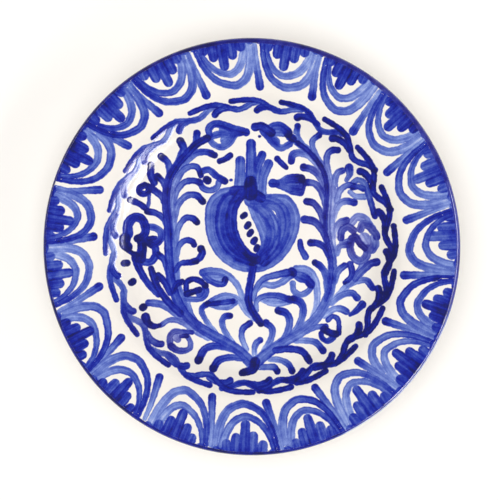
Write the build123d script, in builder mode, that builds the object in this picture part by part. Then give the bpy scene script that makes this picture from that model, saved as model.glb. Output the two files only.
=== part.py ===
"""A hand painted, tin-glazed earthenware plate, in millimetres.

The origin is at the middle of the plate, on the surface that the foot ring stands on, with +Z up.
The body is one thrown and fired piece of clay. The glaze coats and each painted motif are thin
layers on it, and every layer is bounded by the same profile, so that they meet face to face.
"""

from build123d import *
import os
from math import cos, radians, sin, tan

os.makedirs("parts", exist_ok=True)

# --- Driving dimensions -----------------------------------------------------------------------
PLATE_DIAMETER = 279.0      # over the lip, with its glaze and its painted band
FLOOR_HEIGHT = 10.0         # clay floor of the well above the table
WALL = 6.0                  # thickness of the clay everywhere but in the foot ring
WALL_ANGLE = 32.0           # slope of the cavetto, the wall between well and rim, in degrees
RIM_ANGLE = 14.0            # slope of the rim, in degrees
WELL_RADIUS = 79.0          # where the floor and the cavetto would meet without their bend
RIM_INNER_RADIUS = 102.0    # where the cavetto and the rim would meet without their bend
WELL_BEND = 34.0            # radius of the bend from the floor into the cavetto
SHOULDER_BEND = 22.0        # radius of the bend from the cavetto into the rim
BACK_WELL_BEND = 14.0       # radius of the same bend as WELL_BEND, on the back
FACE_GLAZE = 0.5            # white tin glaze on the face
BACK_GLAZE = 0.35           # the same glaze, thinner, on the back
PAINT = 0.25                # cobalt painting on the glaze
CUTTER_HEIGHT = 70.0        # taller than the plate; the motifs' outlines are extruded to this
SMALLEST_DAB = 1.2          # mm3; smaller leftovers between crossing motifs are dropped
FOOT_OUTER_RADIUS = 68.0
FOOT_INNER_RADIUS = 60.0
FOOT_EDGE = 1.4             # rounding of the two edges that touch the table
BAND_START_ANGLE = 75.0     # where the painted lip band begins on the round lip, in degrees
BAND_END_ANGLE = -38.0      # how far it goes round the outside, and where the back glaze begins
GLAZED_FOOT_HEIGHT = 1.8    # the back glaze stops this far above the table

# --- Values worked out from them --------------------------------------------------------------
LIP_RADIUS = WALL / 2
LIP_CENTRE_R = PLATE_DIAMETER / 2 - PAINT - FACE_GLAZE - LIP_RADIUS
BACK_HEIGHT = FLOOR_HEIGHT - WALL
SHOULDER_HEIGHT = FLOOR_HEIGHT + (RIM_INNER_RADIUS - WELL_RADIUS) * tan(radians(WALL_ANGLE))


def face_vertex_well(depth):
    """Corner of floor and cavetto, for a surface that lies depth above the clay face."""
    return (WELL_RADIUS - depth * tan(radians(WALL_ANGLE / 2)), FLOOR_HEIGHT + depth)


def face_vertex_shoulder(depth):
    """Corner of cavetto and rim, for a surface that lies depth above the clay face."""
    wall, rim = radians(WALL_ANGLE), radians(RIM_ANGLE)
    scale = depth / (1 + cos(wall - rim))
    return (
        RIM_INNER_RADIUS - scale * (sin(wall) + sin(rim)),
        SHOULDER_HEIGHT + scale * (cos(wall) + cos(rim)),
    )


def rim_point(radius, depth):
    """The point at this radius on the straight rim, for a surface depth above the clay face."""
    start_r, start_z = face_vertex_shoulder(depth)
    return (radius, start_z + (radius - start_r) * tan(radians(RIM_ANGLE)))


# The lip is a half round whose top and bottom run on into the face and the back of the rim.
RIM_NORMAL = (-sin(radians(RIM_ANGLE)), cos(radians(RIM_ANGLE)))
LIP_TOP = rim_point(LIP_CENTRE_R + LIP_RADIUS * RIM_NORMAL[0], 0)
LIP_CENTRE = (LIP_CENTRE_R, LIP_TOP[1] - LIP_RADIUS * RIM_NORMAL[1])


def lip_point(angle, depth):
    """A point on the round lip, at an angle from the horizontal."""
    reach = LIP_RADIUS + depth
    return (LIP_CENTRE[0] + reach * cos(radians(angle)), LIP_CENTRE[1] + reach * sin(radians(angle)))


LIP_TOP_ANGLE = 90 + RIM_ANGLE
LIP_BACK_ANGLE = RIM_ANGLE - 90


def bend_on(corner, before, after, radius):
    """Start, middle and end of the round bend of this radius at a corner of two straight runs."""
    c, a, b = Vector(*corner), Vector(*before), Vector(*after)
    to_a, to_b = (a - c).normalized(), (b - c).normalized()
    half = to_a.get_angle(to_b) / 2
    reach = radius / tan(radians(half))
    centre = c + (to_a + to_b).normalized() * (radius / sin(radians(half)))
    middle = centre + (c - centre).normalized() * radius
    return c + to_a * reach, middle, c + to_b * reach


def face_line(depth):
    """Draws the face from the axis to the lip, at depth above the clay, in an XZ sketch."""
    well, shoulder = face_vertex_well(depth), face_vertex_shoulder(depth)
    axis = (0, FLOOR_HEIGHT + depth)
    end_point = lip_point(LIP_TOP_ANGLE, depth)
    well_bend = bend_on(well, axis, shoulder, WELL_BEND - depth)
    shoulder_bend = bend_on(shoulder, well, end_point, SHOULDER_BEND + depth)
    Line(axis, well_bend[0])
    ThreePointArc(*well_bend)
    Line(well_bend[2], shoulder_bend[0])
    ThreePointArc(*shoulder_bend)
    Line(shoulder_bend[2], end_point)
    return axis


def back_line(depth):
    """Draws the back from the lip to the foot ring, at depth under the clay's back."""
    start = lip_point(LIP_BACK_ANGLE, depth)
    shoulder, well = face_vertex_shoulder(-WALL - depth), face_vertex_well(-WALL - depth)
    foot = (FOOT_OUTER_RADIUS + depth, BACK_HEIGHT - depth)
    shoulder_bend = bend_on(shoulder, start, well, SHOULDER_BEND - WALL - depth)
    well_bend = bend_on(well, shoulder, foot, BACK_WELL_BEND + depth)
    Line(start, shoulder_bend[0])
    ThreePointArc(*shoulder_bend)
    Line(shoulder_bend[2], well_bend[0])
    ThreePointArc(*well_bend)
    Line(well_bend[2], foot)
    return foot


def lip_arc(start_angle, end_angle, depth):
    """Draws part of the round lip between two angles."""
    middle_angle = (start_angle + end_angle) / 2
    ThreePointArc(
        lip_point(start_angle, depth), lip_point(middle_angle, depth), lip_point(end_angle, depth)
    )


# --- The clay body ----------------------------------------------------------------------------
with BuildPart() as clay_body:
    with BuildSketch(Plane.XZ):
        with BuildLine():
            axis_top = face_line(0)
            lip_arc(LIP_TOP_ANGLE, LIP_BACK_ANGLE, 0)
            back_end = back_line(0)
            Polyline(
                back_end,
                (FOOT_OUTER_RADIUS, 0),
                (FOOT_INNER_RADIUS, 0),
                (FOOT_INNER_RADIUS, BACK_HEIGHT),
                (0, BACK_HEIGHT),
                axis_top,
            )
        make_face()
    revolve(axis=Axis.Z)
    foot_edges = clay_body.edges().filter_by_position(Axis.Z, -0.01, 0.01)
    fillet(foot_edges, FOOT_EDGE)
clay_body.part.label = "clay_body"
export_step(clay_body.part, "parts/clay_body.step")


# --- The glaze coats and the painted lip band --------------------------------------------------
def coat_profile(inner, outer, end_angle):
    """Closes the profile of a coat from inner to outer depth, from the axis to the lip."""
    inner_axis = face_line(inner)
    lip_arc(LIP_TOP_ANGLE, end_angle, inner)
    Line(lip_point(end_angle, inner), lip_point(end_angle, outer))
    lip_arc(end_angle, LIP_TOP_ANGLE, outer)
    outer_axis = face_line(outer)
    Line(outer_axis, inner_axis)


with BuildPart() as face_glaze:
    with BuildSketch(Plane.XZ):
        with BuildLine():
            coat_profile(0, FACE_GLAZE, BAND_END_ANGLE)
        make_face()
    revolve(axis=Axis.Z)
face_glaze.part.label = "face_glaze"
export_step(face_glaze.part, "parts/face_glaze.step")

with BuildPart() as back_glaze:
    with BuildSketch(Plane.XZ):
        with BuildLine():
            lip_arc(BAND_END_ANGLE, LIP_BACK_ANGLE, 0)
            inner_end = back_line(0)
            outer_end = (FOOT_OUTER_RADIUS + BACK_GLAZE, BACK_HEIGHT - BACK_GLAZE)
            Polyline(
                inner_end,
                (FOOT_OUTER_RADIUS, GLAZED_FOOT_HEIGHT),
                (FOOT_OUTER_RADIUS + BACK_GLAZE, GLAZED_FOOT_HEIGHT),
                outer_end,
            )
            back_line(BACK_GLAZE)
            lip_arc(LIP_BACK_ANGLE, BAND_END_ANGLE, BACK_GLAZE)
            Line(lip_point(BAND_END_ANGLE, BACK_GLAZE), lip_point(BAND_END_ANGLE, 0))
        make_face()
    revolve(axis=Axis.Z)
back_glaze.part.label = "back_glaze"
export_step(back_glaze.part, "parts/back_glaze.step")

with BuildPart() as foot_recess_glaze:
    with BuildSketch(Plane.XY.offset(BACK_HEIGHT)):
        Circle(FOOT_INNER_RADIUS)
    extrude(amount=-BACK_GLAZE)
foot_recess_glaze.part.label = "foot_recess_glaze"
export_step(foot_recess_glaze.part, "parts/foot_recess_glaze.step")

PAINT_TOP = FACE_GLAZE + PAINT
with BuildPart() as lip_band:
    with BuildSketch(Plane.XZ):
        with BuildLine():
            lip_arc(BAND_START_ANGLE, BAND_END_ANGLE, FACE_GLAZE)
            Line(lip_point(BAND_END_ANGLE, FACE_GLAZE), lip_point(BAND_END_ANGLE, PAINT_TOP))
            lip_arc(BAND_END_ANGLE, BAND_START_ANGLE, PAINT_TOP)
            Line(lip_point(BAND_START_ANGLE, PAINT_TOP), lip_point(BAND_START_ANGLE, FACE_GLAZE))
        make_face()
    revolve(axis=Axis.Z)
lip_band.part.label = "lip_band"
export_step(lip_band.part, "parts/lip_band.step")

# The whole sheet that the painting could fill. Each motif is cut out of it.
with BuildPart() as paint_sheet:
    with BuildSketch(Plane.XZ):
        with BuildLine():
            coat_profile(FACE_GLAZE, PAINT_TOP, BAND_START_ANGLE)
        make_face()
    revolve(axis=Axis.Z)


# --- Brush strokes ----------------------------------------------------------------------------
def brush_stroke(points, start_width, end_width):
    """A round-ended stroke along a smooth line through points, changing evenly in width."""
    with BuildLine(mode=Mode.PRIVATE) as centre:
        if len(points) == 2:
            Line(*points)
        else:
            Spline(*points)
    path = centre.wire()
    station_count = len(points) if len(points) < 4 else len(points) + 1
    left, right = [], []
    for index in range(station_count):
        station = index / (station_count - 1)
        half_width = (start_width + (end_width - start_width) * station) / 2
        along = path.tangent_at(station)
        across = Vector(-along.Y, along.X) * half_width
        left.append(path.position_at(station) + across)
        right.append(path.position_at(station) - across)
    start_tip = path.position_at(0) - path.tangent_at(0) * (start_width / 2)
    end_tip = path.position_at(1) + path.tangent_at(1) * (end_width / 2)
    side = {2: Line, 3: ThreePointArc}.get(station_count, Spline)
    with BuildSketch(mode=Mode.PRIVATE) as stroke:
        with BuildLine():
            side(*left)
            ThreePointArc(left[-1], end_tip, right[-1])
            side(*right[::-1])
            ThreePointArc(right[0], start_tip, left[0])
        make_face()
    return stroke.sketch


claimed = []


def painted_layer(name, strokes):
    """Cuts one motif out of the paint sheet, less what earlier motifs took, and writes it."""
    with BuildPart() as layer:
        with BuildSketch() as outline:
            add([brush_stroke(*stroke) for stroke in strokes])
            if claimed:
                add(claimed, mode=Mode.SUBTRACT)
        extrude(amount=CUTTER_HEIGHT)
        add(paint_sheet.part, mode=Mode.INTERSECT)
        leftovers = layer.solids().filter_by(lambda solid: solid.volume < SMALLEST_DAB)
        if leftovers:
            add(leftovers, mode=Mode.SUBTRACT)
    claimed.append(outline.sketch)
    layer.part.label = name
    export_step(layer.part, f"parts/{name}.step")


# --- The strokes of the middle: points of each stroke, then its start and end width ------------
# The two lobes of the pomegranate, swept from the crown down to the stem.
LOBE_STROKES = [
    ([(-10, 37), (-20, 35), (-27, 28), (-28, 16), (-26, 5), (-20, -5), (-10, -12), (0, -14)], 8, 7.6),
    ([(-9, 36), (-17, 31), (-20.5, 22), (-20.5, 11), (-16.5, 1), (-9, -6), (0, -9.5)], 9, 8),
    ([(-8, 35), (-12.5, 28), (-14, 20), (-13, 10), (-9, 1), (-3, -6), (3, -9)], 7.6, 6.6),
    ([(4, 32), (14, 32), (23, 31), (28.5, 22), (28, 12), (24, 2), (17, -7), (8, -12.5), (0, -14)], 7, 7.8),
    ([(2, 31), (12, 30), (19, 26), (22, 17), (20.5, 7), (15.5, -2), (8, -9)], 8, 9),
    ([(-1.2, 31), (6, 26), (12.5, 19), (15.5, 10), (14, 1), (9, -5)], 8, 8.4),
    ([(-1, 30), (2, 22), (6, 14), (9, 6), (9.5, -1), (5, -8.5)], 5.2, 8),
    ([(4, 27), (10, 20), (12.5, 10), (11, 1)], 6, 7),
]

# Five seeds in the open slit between the lobes.
SEED_STROKES = [
    ([(-6.4, 20.3), (-4.8, 21.6)], 3.9, 3.7),
    ([(-3.6, 13.5), (-2.4, 15)], 3.9, 3.9),
    ([(-1.9, 8.2), (-0.6, 10)], 3.8, 3.8),
    ([(1, 3.2), (2, 4.7)], 4.2, 4),
    ([(2.8, -2), (3.6, -0.3)], 3.8, 3.8),
]

# The calyx: four upright leaves above a knot.
CROWN_STROKES = [
    ([(-9, 37), (-8.2, 47), (-8, 58)], 7.4, 6.2),
    ([(-1, 38), (-0.6, 54), (-0.7, 69.5)], 8.6, 6.2),
    ([(1.5, 44), (3.6, 54), (6.9, 62)], 6.4, 5.6),
    ([(6.3, 32), (7.2, 46), (11.2, 56)], 6.6, 6),
    ([(-1, 44), (-1, 36)], 8, 10),
    ([(-12, 37.5), (-3, 37.5), (6, 33)], 7, 7),
]

# The stem under the fruit.
STEM_STROKES = [
    ([(0.5, -14), (-0.3, -20), (-2.2, -31), (-2.2, -38), (0.8, -45), (6, -52.3)], 5, 5),
]

# Two curled leaves on each side of the stem.
STEM_LEAF_STROKES = [
    ([(-4.5, -42), (-6.8, -34), (-11, -25), (-19, -18.5), (-28, -17), (-33.5, -18)], 3, 5.5),
    ([(-34, -18), (-30, -22.5), (-24, -25.5), (-19.5, -25.5), (-18.2, -22.5)], 4, 4),
    ([(1.5, -49.5), (-4.5, -44), (-8, -38), (-13, -34.5), (-20, -34), (-28, -38)], 3, 5),
    ([(-29, -39.5), (-22, -41.3), (-16, -41), (-12, -38.2)], 3.5, 4.6),
    ([(-31, -39.5), (-22, -38.5), (-13, -37.2)], 3.2, 3.6),
    ([(0.8, -36), (3, -28), (8, -22), (17, -19.2), (27.5, -17)], 3, 5.4),
    ([(3, -29), (7.5, -25.5), (13.5, -26.5), (20, -24.3), (27, -19)], 4, 4.6),
    ([(3, -43.5), (3, -37.5), (8, -33.8), (17, -33.3), (26, -36)], 3, 4.6),
    ([(7, -36.5), (14, -39), (21, -38.6), (27, -36.5)], 3, 4),
    ([(27, -16.5), (28.2, -18)], 5, 5),
    ([(-31, -20), (-25, -21.3), (-20.5, -21)], 5.6, 4.6),
    ([(9, -36.4), (15, -36), (22, -36.6)], 3.6, 3.6),
    ([(28, -18.5), (33, -19.5), (37.5, -22)], 5, 5),
]

# The dab where both vines start.
BASE_STROKES = [
    ([(2.2, -78.5), (0.5, -83.4), (-6.6, -85.7)], 7, 4.2),
]

# The left vine and the second, thinner pass beside it.
LEFT_VINE_STROKES = [
    ([(1, -81), (-8, -72), (-18, -65.5), (-29, -59.5), (-37, -54.5), (-44, -48.5), (-49, -41),
      (-53, -32), (-55.5, -22), (-56.5, -10), (-57, 2), (-57.2, 14), (-58.5, 27), (-58.3, 38),
      (-56, 47), (-50.5, 56), (-44, 63), (-38, 69), (-30, 73.5)], 7.2, 4.8),
    ([(-47, -41), (-51, -28), (-52.5, -14), (-53, 2), (-54, 16), (-55, 28), (-54.3, 38)], 6, 5),
]

# The right vine and its thinner passes.
RIGHT_VINE_STROKES = [
    ([(1, -81), (11, -72), (23, -64), (34, -57.3), (43, -49), (49, -40), (53, -29), (54.6, -16),
      (53.6, -5), (51, 6), (50.2, 18), (51, 30), (51.3, 40), (49.2, 50), (44.5, 58), (38, 65),
      (31.5, 70), (25.5, 74)], 7.4, 4.8),
    ([(50, -36), (52.8, -27), (54, -16), (53, -5), (50.4, 6), (49.6, 18), (50.4, 30), (50.7, 40),
      (48.6, 50), (44, 58), (37.6, 65), (31, 70)], 2.8, 3.4),
    ([(46, -46), (51, -33), (50.8, -20)], 3.5, 4.5),
    ([(55.5, -14), (55, 0), (54.2, 14), (54.6, 28), (54.6, 40)], 3.5, 3.5),
]

# The four-petalled flower outside the left vine, with its two dots.
LEFT_FLOWER_STROKES = [
    ([(-84.2, 8), (-84, 15), (-80, 19.6), (-75, 18.2), (-72.6, 12), (-74, 7), (-78, 5.2)], 6.4, 5.4),
    ([(-86, 5.6), (-86.4, 2), (-84.6, -0.4)], 7, 6.4),
    ([(-84, -3), (-80, -5.5), (-76, -5)], 3, 4),
    ([(-76, 5), (-75, -1.5), (-76, -8.5)], 5.6, 6.8),
    ([(-76, -10.3), (-70, -11), (-66.5, -7.5), (-66, -1.5), (-69.5, 1.5)], 4.8, 4.8),
    ([(-72, 13.2), (-66.5, 12.6), (-62.3, 9.5), (-62.3, 5), (-66.5, 1.6), (-71, 2.8)], 4.4, 5),
    ([(-71, 5), (-66, 5.8)], 3.4, 2.6),
    ([(-86.6, -11.4), (-85, -11.4)], 4.8, 4.6),
    ([(-81.8, -24.6), (-81, -24)], 4.6, 4.6),
]

# The four-petalled flower outside the right vine.
RIGHT_FLOWER_STROKES = [
    ([(60.2, 6), (61, 11), (65, 13.4), (68.6, 11)], 4.6, 4.8),
    ([(57.8, -5), (59.3, 0.2), (65.5, 1.6)], 3, 4.4),
    ([(60.8, 3), (64, 3.6), (68, 5.2)], 3.4, 3.4),
    ([(67.6, 16.6), (71, 20), (76, 19.2), (79, 15), (81, 12.5)], 5, 5.6),
    ([(73.4, 12), (75, 15.4), (79, 14.5)], 5, 5.4),
    ([(80, 13), (83.6, 9), (84.3, 7)], 5, 5),
    ([(82.5, 6.5), (83, 2), (81, -1.4)], 5.4, 6.2),
    ([(76, 5.5), (78.5, 1.5), (79, -1)], 8, 7),
    ([(67.4, 5.6), (66.4, -1), (68.7, -7), (73.5, -9.5), (77.5, -6), (78, -1)], 4.8, 5.2),
    ([(67.6, 6), (70.4, 6.6), (72.8, 2.6), (76.5, -1)], 4.4, 4.2),
    ([(76, -9), (74, -15), (70, -21)], 5.2, 5.2),
]

# The two buds between the tops of the vines.
BUD_STROKES = [
    ([(-28.5, 75.5), (-29, 79.5), (-25.5, 82.7), (-20, 82.4), (-13, 79.8), (-4, 77.3)], 4.4, 5.4),
    ([(-29, 72.8), (-26, 69.2), (-21, 67.3), (-16, 69.6), (-12, 75.5)], 3.6, 5),
    ([(-28, 74), (-22.5, 76), (-16, 76), (-9, 77)], 4.2, 5),
    ([(-19, 79), (-13.5, 78.4), (-8, 77.4)], 6.6, 5.4),
    ([(-18.5, 72), (-14, 74.4)], 6, 6),
    ([(2.2, 80.8), (6.5, 81.2), (10.5, 78.8), (13, 77)], 5.4, 6),
    ([(11.5, 79.5), (15.5, 81.4), (20, 81), (24, 77.5), (24.6, 76)], 5, 6),
    ([(12.5, 77), (16.5, 78), (21, 77.6)], 6, 7),
    ([(9.5, 77), (13, 73.4), (16.5, 71)], 5, 5),
    ([(7.5, 78.5), (12, 73), (15.8, 68.8), (20, 66.7), (25.5, 69.3)], 5, 4.2),
    ([(24, 76), (28, 72.5)], 5, 4.6),
]

# The small blossoms along both vines.
BLOSSOM_STROKES = [
    ([(-30.9, 45.2), (-30.2, 44.7)], 5.2, 5.2),
    ([(-34.6, 50.8), (-29.5, 52), (-24.5, 48), (-18.5, 44.2)], 4, 4.6),
    ([(-35.3, 42.5), (-33, 39.3), (-28.5, 38), (-24, 40), (-22.6, 43.5)], 4, 4),
    ([(-72.6, 41.7), (-76.2, 39.6), (-76, 36.6), (-72.8, 35.6), (-70, 38), (-70.8, 41)], 4, 4),
    ([(14, 42.9), (16.5, 42.7)], 5.6, 5),
    ([(16, 42.5), (21, 42.2), (26, 41.6)], 5, 10),
    ([(25, 42), (31.5, 41.6)], 10, 8),
    ([(20, 43.5), (26, 46.2), (33, 45.8)], 5, 6.4),
    ([(21, 40.5), (27, 37.8), (32.6, 36.8)], 4.4, 5.4),
    ([(33.5, 46), (34.2, 42), (33, 37.5)], 4.6, 5),
    ([(57.4, 31), (59.6, 38), (64.5, 41.6), (68.5, 41.2)], 4, 4),
    ([(68, 42.8), (71.6, 45.2), (75.6, 43), (78.3, 37), (80.2, 30.5), (83, 20.8)], 3.8, 4),
    ([(68, 40), (71.5, 40.6), (75.3, 39.2)], 3.6, 3.8),
    ([(66.2, 37), (70, 34.2), (76, 33.8)], 3, 4.4),
    ([(-45, -29.5), (-44.6, -24.6), (-40.6, -22.4), (-35.6, -23.6), (-31.6, -27)], 3.6, 4),
    ([(-44.6, -32.5), (-39.5, -30.8), (-36, -29.6)], 4.4, 4),
    ([(-35.6, -31.6), (-34.6, -31.2)], 6, 6),
    ([(-32, -27.6), (-31.2, -31.5), (-34.5, -35.6), (-40, -36.2), (-45, -35.8)], 4, 3.4),
    ([(-55.6, -66), (-55.8, -61), (-52.6, -58), (-47.6, -58.4), (-41, -58.8)], 4, 3),
    ([(-52, -61.5), (-50.5, -63.5)], 6, 4.4),
    ([(-48.5, -61.4), (-44.6, -61.2)], 2.6, 3),
    ([(-55, -67.6), (-51, -70.4), (-46, -71), (-42.4, -69.4), (-42, -65.8), (-43.6, -62.2)], 4.4, 3.2),
    ([(51.6, -49.6), (54.8, -47.2), (58.6, -49.8), (59.2, -58.4)], 3.2, 3.2),
    ([(37, -58), (43, -54.8), (50, -54.2)], 3, 4),
    ([(49, -56), (53.5, -58.5), (57, -59)], 5, 4.6),
    ([(46.8, -58.8), (47.8, -62), (51.3, -63.8), (55.5, -61.4)], 3.2, 3.8),
]

# Leaves of the left vine that turn towards the fruit.
LEFT_INNER_STROKES = [
    ([(-13, -66), (-18.5, -58), (-20.5, -51.5), (-18.5, -47.8), (-15, -47.3)], 3.5, 4.2),
    ([(-4, -70), (-7, -62), (-6.2, -56), (-1.5, -52.3)], 3.5, 4.4),
    ([(-24, -60), (-31.5, -50.5), (-34.5, -43), (-30, -38.8)], 3, 4),
    ([(-37, -55), (-42, -46), (-44.5, -37)], 4.5, 3.6),
    ([(-54, -31), (-51.5, -25.8), (-47.8, -24.3)], 3.6, 4.2),
    ([(-52.5, -17), (-49, -12), (-43, -11), (-38, -10)], 3, 4.4),
    ([(-42, -11.3), (-36.5, -8.8), (-33.8, -4.5), (-34.8, -1.8)], 3.6, 5),
    ([(-52, -9), (-49.8, 0), (-45.5, 4), (-41, 3.3), (-39.5, 1)], 3.4, 4.2),
    ([(-52, 4), (-50, 13), (-45.5, 19), (-40.5, 19), (-37.5, 16.3)], 3.6, 4.4),
    ([(-53, 18), (-50.5, 28), (-44.5, 34.3), (-38, 34.6), (-33.6, 30.4)], 4, 4.6),
    ([(-54, 28), (-51.5, 37), (-46.5, 43.2), (-40.5, 44.6), (-35.6, 43.4)], 4, 4.2),
    ([(-54, 38), (-49, 49), (-43.5, 53.8), (-37.6, 53.8), (-34.8, 48.2)], 5, 3.6),
    ([(-50, 48), (-44.5, 57.5), (-38, 63), (-31, 64), (-25.4, 61.8)], 4, 4.4),
]

# Leaves of the left vine that turn towards the rim.
LEFT_OUTER_STROKES = [
    ([(-6, -76.5), (-15, -75.6), (-22.5, -77.6), (-26, -82.6)], 3.5, 5.4),
    ([(-12, -70.5), (-24, -68), (-32, -70), (-36.2, -77.3)], 4, 5.4),
    ([(-30, -62), (-39, -57.5), (-48, -51.8), (-56, -50.4), (-62.3, -54)], 5, 3),
    ([(-72.3, -48), (-70.5, -51.8), (-67, -54.3), (-63, -54)], 5.4, 3),
    ([(-36, -58.5), (-45, -51.5), (-53, -45), (-60, -40.5), (-66, -39), (-70.5, -38.6)], 6, 4.6),
    ([(-74.2, -41.6), (-73.8, -41.4)], 5, 5),
    ([(-49, -46), (-56, -39.5), (-62, -32), (-66, -25), (-69, -15.5)], 5, 4.3),
    ([(-64, -33), (-69, -28), (-74, -21), (-78, -13), (-79.5, -8)], 4, 5),
    ([(-56, -32), (-59.5, -25), (-64, -20)], 4, 4.6),
    ([(-57.5, -19), (-60, -10), (-64, -5.6)], 3, 4.4),
    ([(-57.5, 12.5), (-61, 19.3), (-66, 22.6), (-71.5, 23.6)], 3.5, 4.4),
    ([(-71.5, 24.5), (-76, 28.5), (-82, 31.5)], 3.6, 4.4),
    ([(-72, 24), (-70.5, 29), (-70, 35)], 2.4, 2.2),
    ([(-59, 27), (-62, 34), (-68.5, 39.5)], 3.4, 5),
    ([(-66.6, 43.3), (-68.6, 48), (-68, 55.2)], 4.6, 4.4),
    ([(-58.5, 37), (-60.5, 43.5), (-64.3, 47.5)], 3, 4.6),
    ([(-56, 48), (-57, 56.5), (-61.3, 61)], 4, 4.6),
    ([(-53, 50), (-49, 60), (-46.4, 66), (-48.2, 71.3)], 4, 5.2),
    ([(-39.5, 65), (-38, 71), (-37, 76.6)], 3.6, 4.6),
]

# Leaves of the right vine that turn towards the fruit.
RIGHT_INNER_STROKES = [
    ([(2, -77), (1.6, -70), (2.8, -66), (5.4, -63.8)], 3, 4.4),
    ([(8, -71), (13, -62.5), (13.6, -56), (9.5, -52)], 3.4, 4.8),
    ([(20, -66), (24.5, -57), (25.5, -50), (23, -45.2), (17.8, -43.5)], 4, 5.2),
    ([(26, -62), (32.5, -52), (34.8, -43.5), (33, -38), (28, -35.8)], 3.6, 5.4),
    ([(40, -51), (43.6, -41), (44.2, -30), (42.3, -21.5), (37.5, -16), (30, -15.3)], 3.5, 5.6),
    ([(29, -18), (32, -21), (37, -22.5), (40, -25.5)], 5, 5.6),
    ([(27.6, -25), (28.4, -30), (33, -32.6), (37.8, -30.5), (40.3, -27)], 3.8, 4),
    ([(51.5, -30), (50, -19), (46.5, -13.4), (42.7, -10.8)], 5, 4.4),
    ([(32.6, 3.6), (33.2, -1), (36.3, -6.8)], 3.6, 4.4),
    ([(53, -9), (49.5, -1.2), (44.5, 2.3), (39.8, 2.6)], 3.5, 4.8),
    ([(51, 4), (47, 12), (42, 17), (35.6, 18.4)], 4.2, 5.4),
    ([(49, 15), (45.5, 24.5), (41.5, 29.4), (37, 30.6)], 3.6, 4.8),
    ([(50, 28), (47, 37), (42.5, 42.5), (36, 43.6)], 4.4, 4.4),
    ([(50.5, 36), (46.5, 46), (41, 51.8), (35, 53.6)], 4, 5),
    ([(46, 54), (39, 61.3), (32, 63.4), (27.6, 62), (26.6, 57.8)], 5, 4.8),
    ([(35, 67), (30.5, 75), (31, 81.2)], 4, 4.2),
]

# Leaves of the right vine that turn towards the rim.
RIGHT_OUTER_STROKES = [
    ([(4, -82), (10.5, -81.8), (15, -81.8), (17.5, -84.3)], 3.4, 4.4),
    ([(12, -76.6), (19, -77), (24.8, -79.6), (27.6, -83.8)], 3.4, 4.4),
    ([(16, -70.5), (25, -69.5), (34, -71), (39.2, -77)], 4.6, 4.6),
    ([(30, -64), (37, -63.8), (43.5, -65), (48.3, -70)], 3.6, 4.6),
    ([(49, -47), (55, -42.6), (60, -42), (64, -43.8)], 3.6, 4.8),
    ([(66.5, -46), (70.5, -43.2), (74.7, -38.8)], 2.4, 5.2),
    ([(54, -38), (60.5, -33), (67.5, -31.3), (71.3, -34.4)], 3.8, 4.6),
    ([(56, -36), (62.5, -28.5), (69, -22), (75, -16), (80, -11.4), (84.3, -10)], 4, 5),
    ([(65, -26), (72, -23), (77.6, -22.6), (81.6, -27.3)], 3.6, 4.6),
    ([(66.5, -11.8), (67.8, -16.5), (66.6, -21), (62.8, -24.2)], 4.6, 3),
    ([(56, -24), (58.5, -16.5), (62.6, -12.8)], 3.6, 4.6),
    ([(55.5, 7), (58.5, 15.5), (64, 17.9)], 4, 4.6),
    ([(54.5, 18), (58, 27.5), (63, 30.8), (69, 30)], 3.6, 4.8),
    ([(56.3, 34), (56, 44), (57.6, 49.5), (61, 51.4)], 4.4, 4.2),
    ([(63.8, 45), (66, 49), (65.6, 53.4)], 2.6, 5.8),
    ([(53.4, 43), (50.6, 55), (51, 62), (54, 65), (58, 65.2)], 4, 4.4),
    ([(45.5, 58), (41.5, 66), (41, 71.5), (45.4, 75.2)], 3.4, 4),
]

# Loose dashes and dots beside the crown.
DAB_STROKES = [
    ([(-22, 57.8), (-18.3, 59.2), (-14.8, 61.6)], 3.6, 4.2),
    ([(17, 59.4), (20, 56.4), (23.2, 53.4)], 3.9, 3.2),
    ([(5, 74.5), (5.4, 74.5)], 2.4, 2.4),
    ([(-14.5, 45), (-14.1, 45)], 2.4, 2.4),
]


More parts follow.
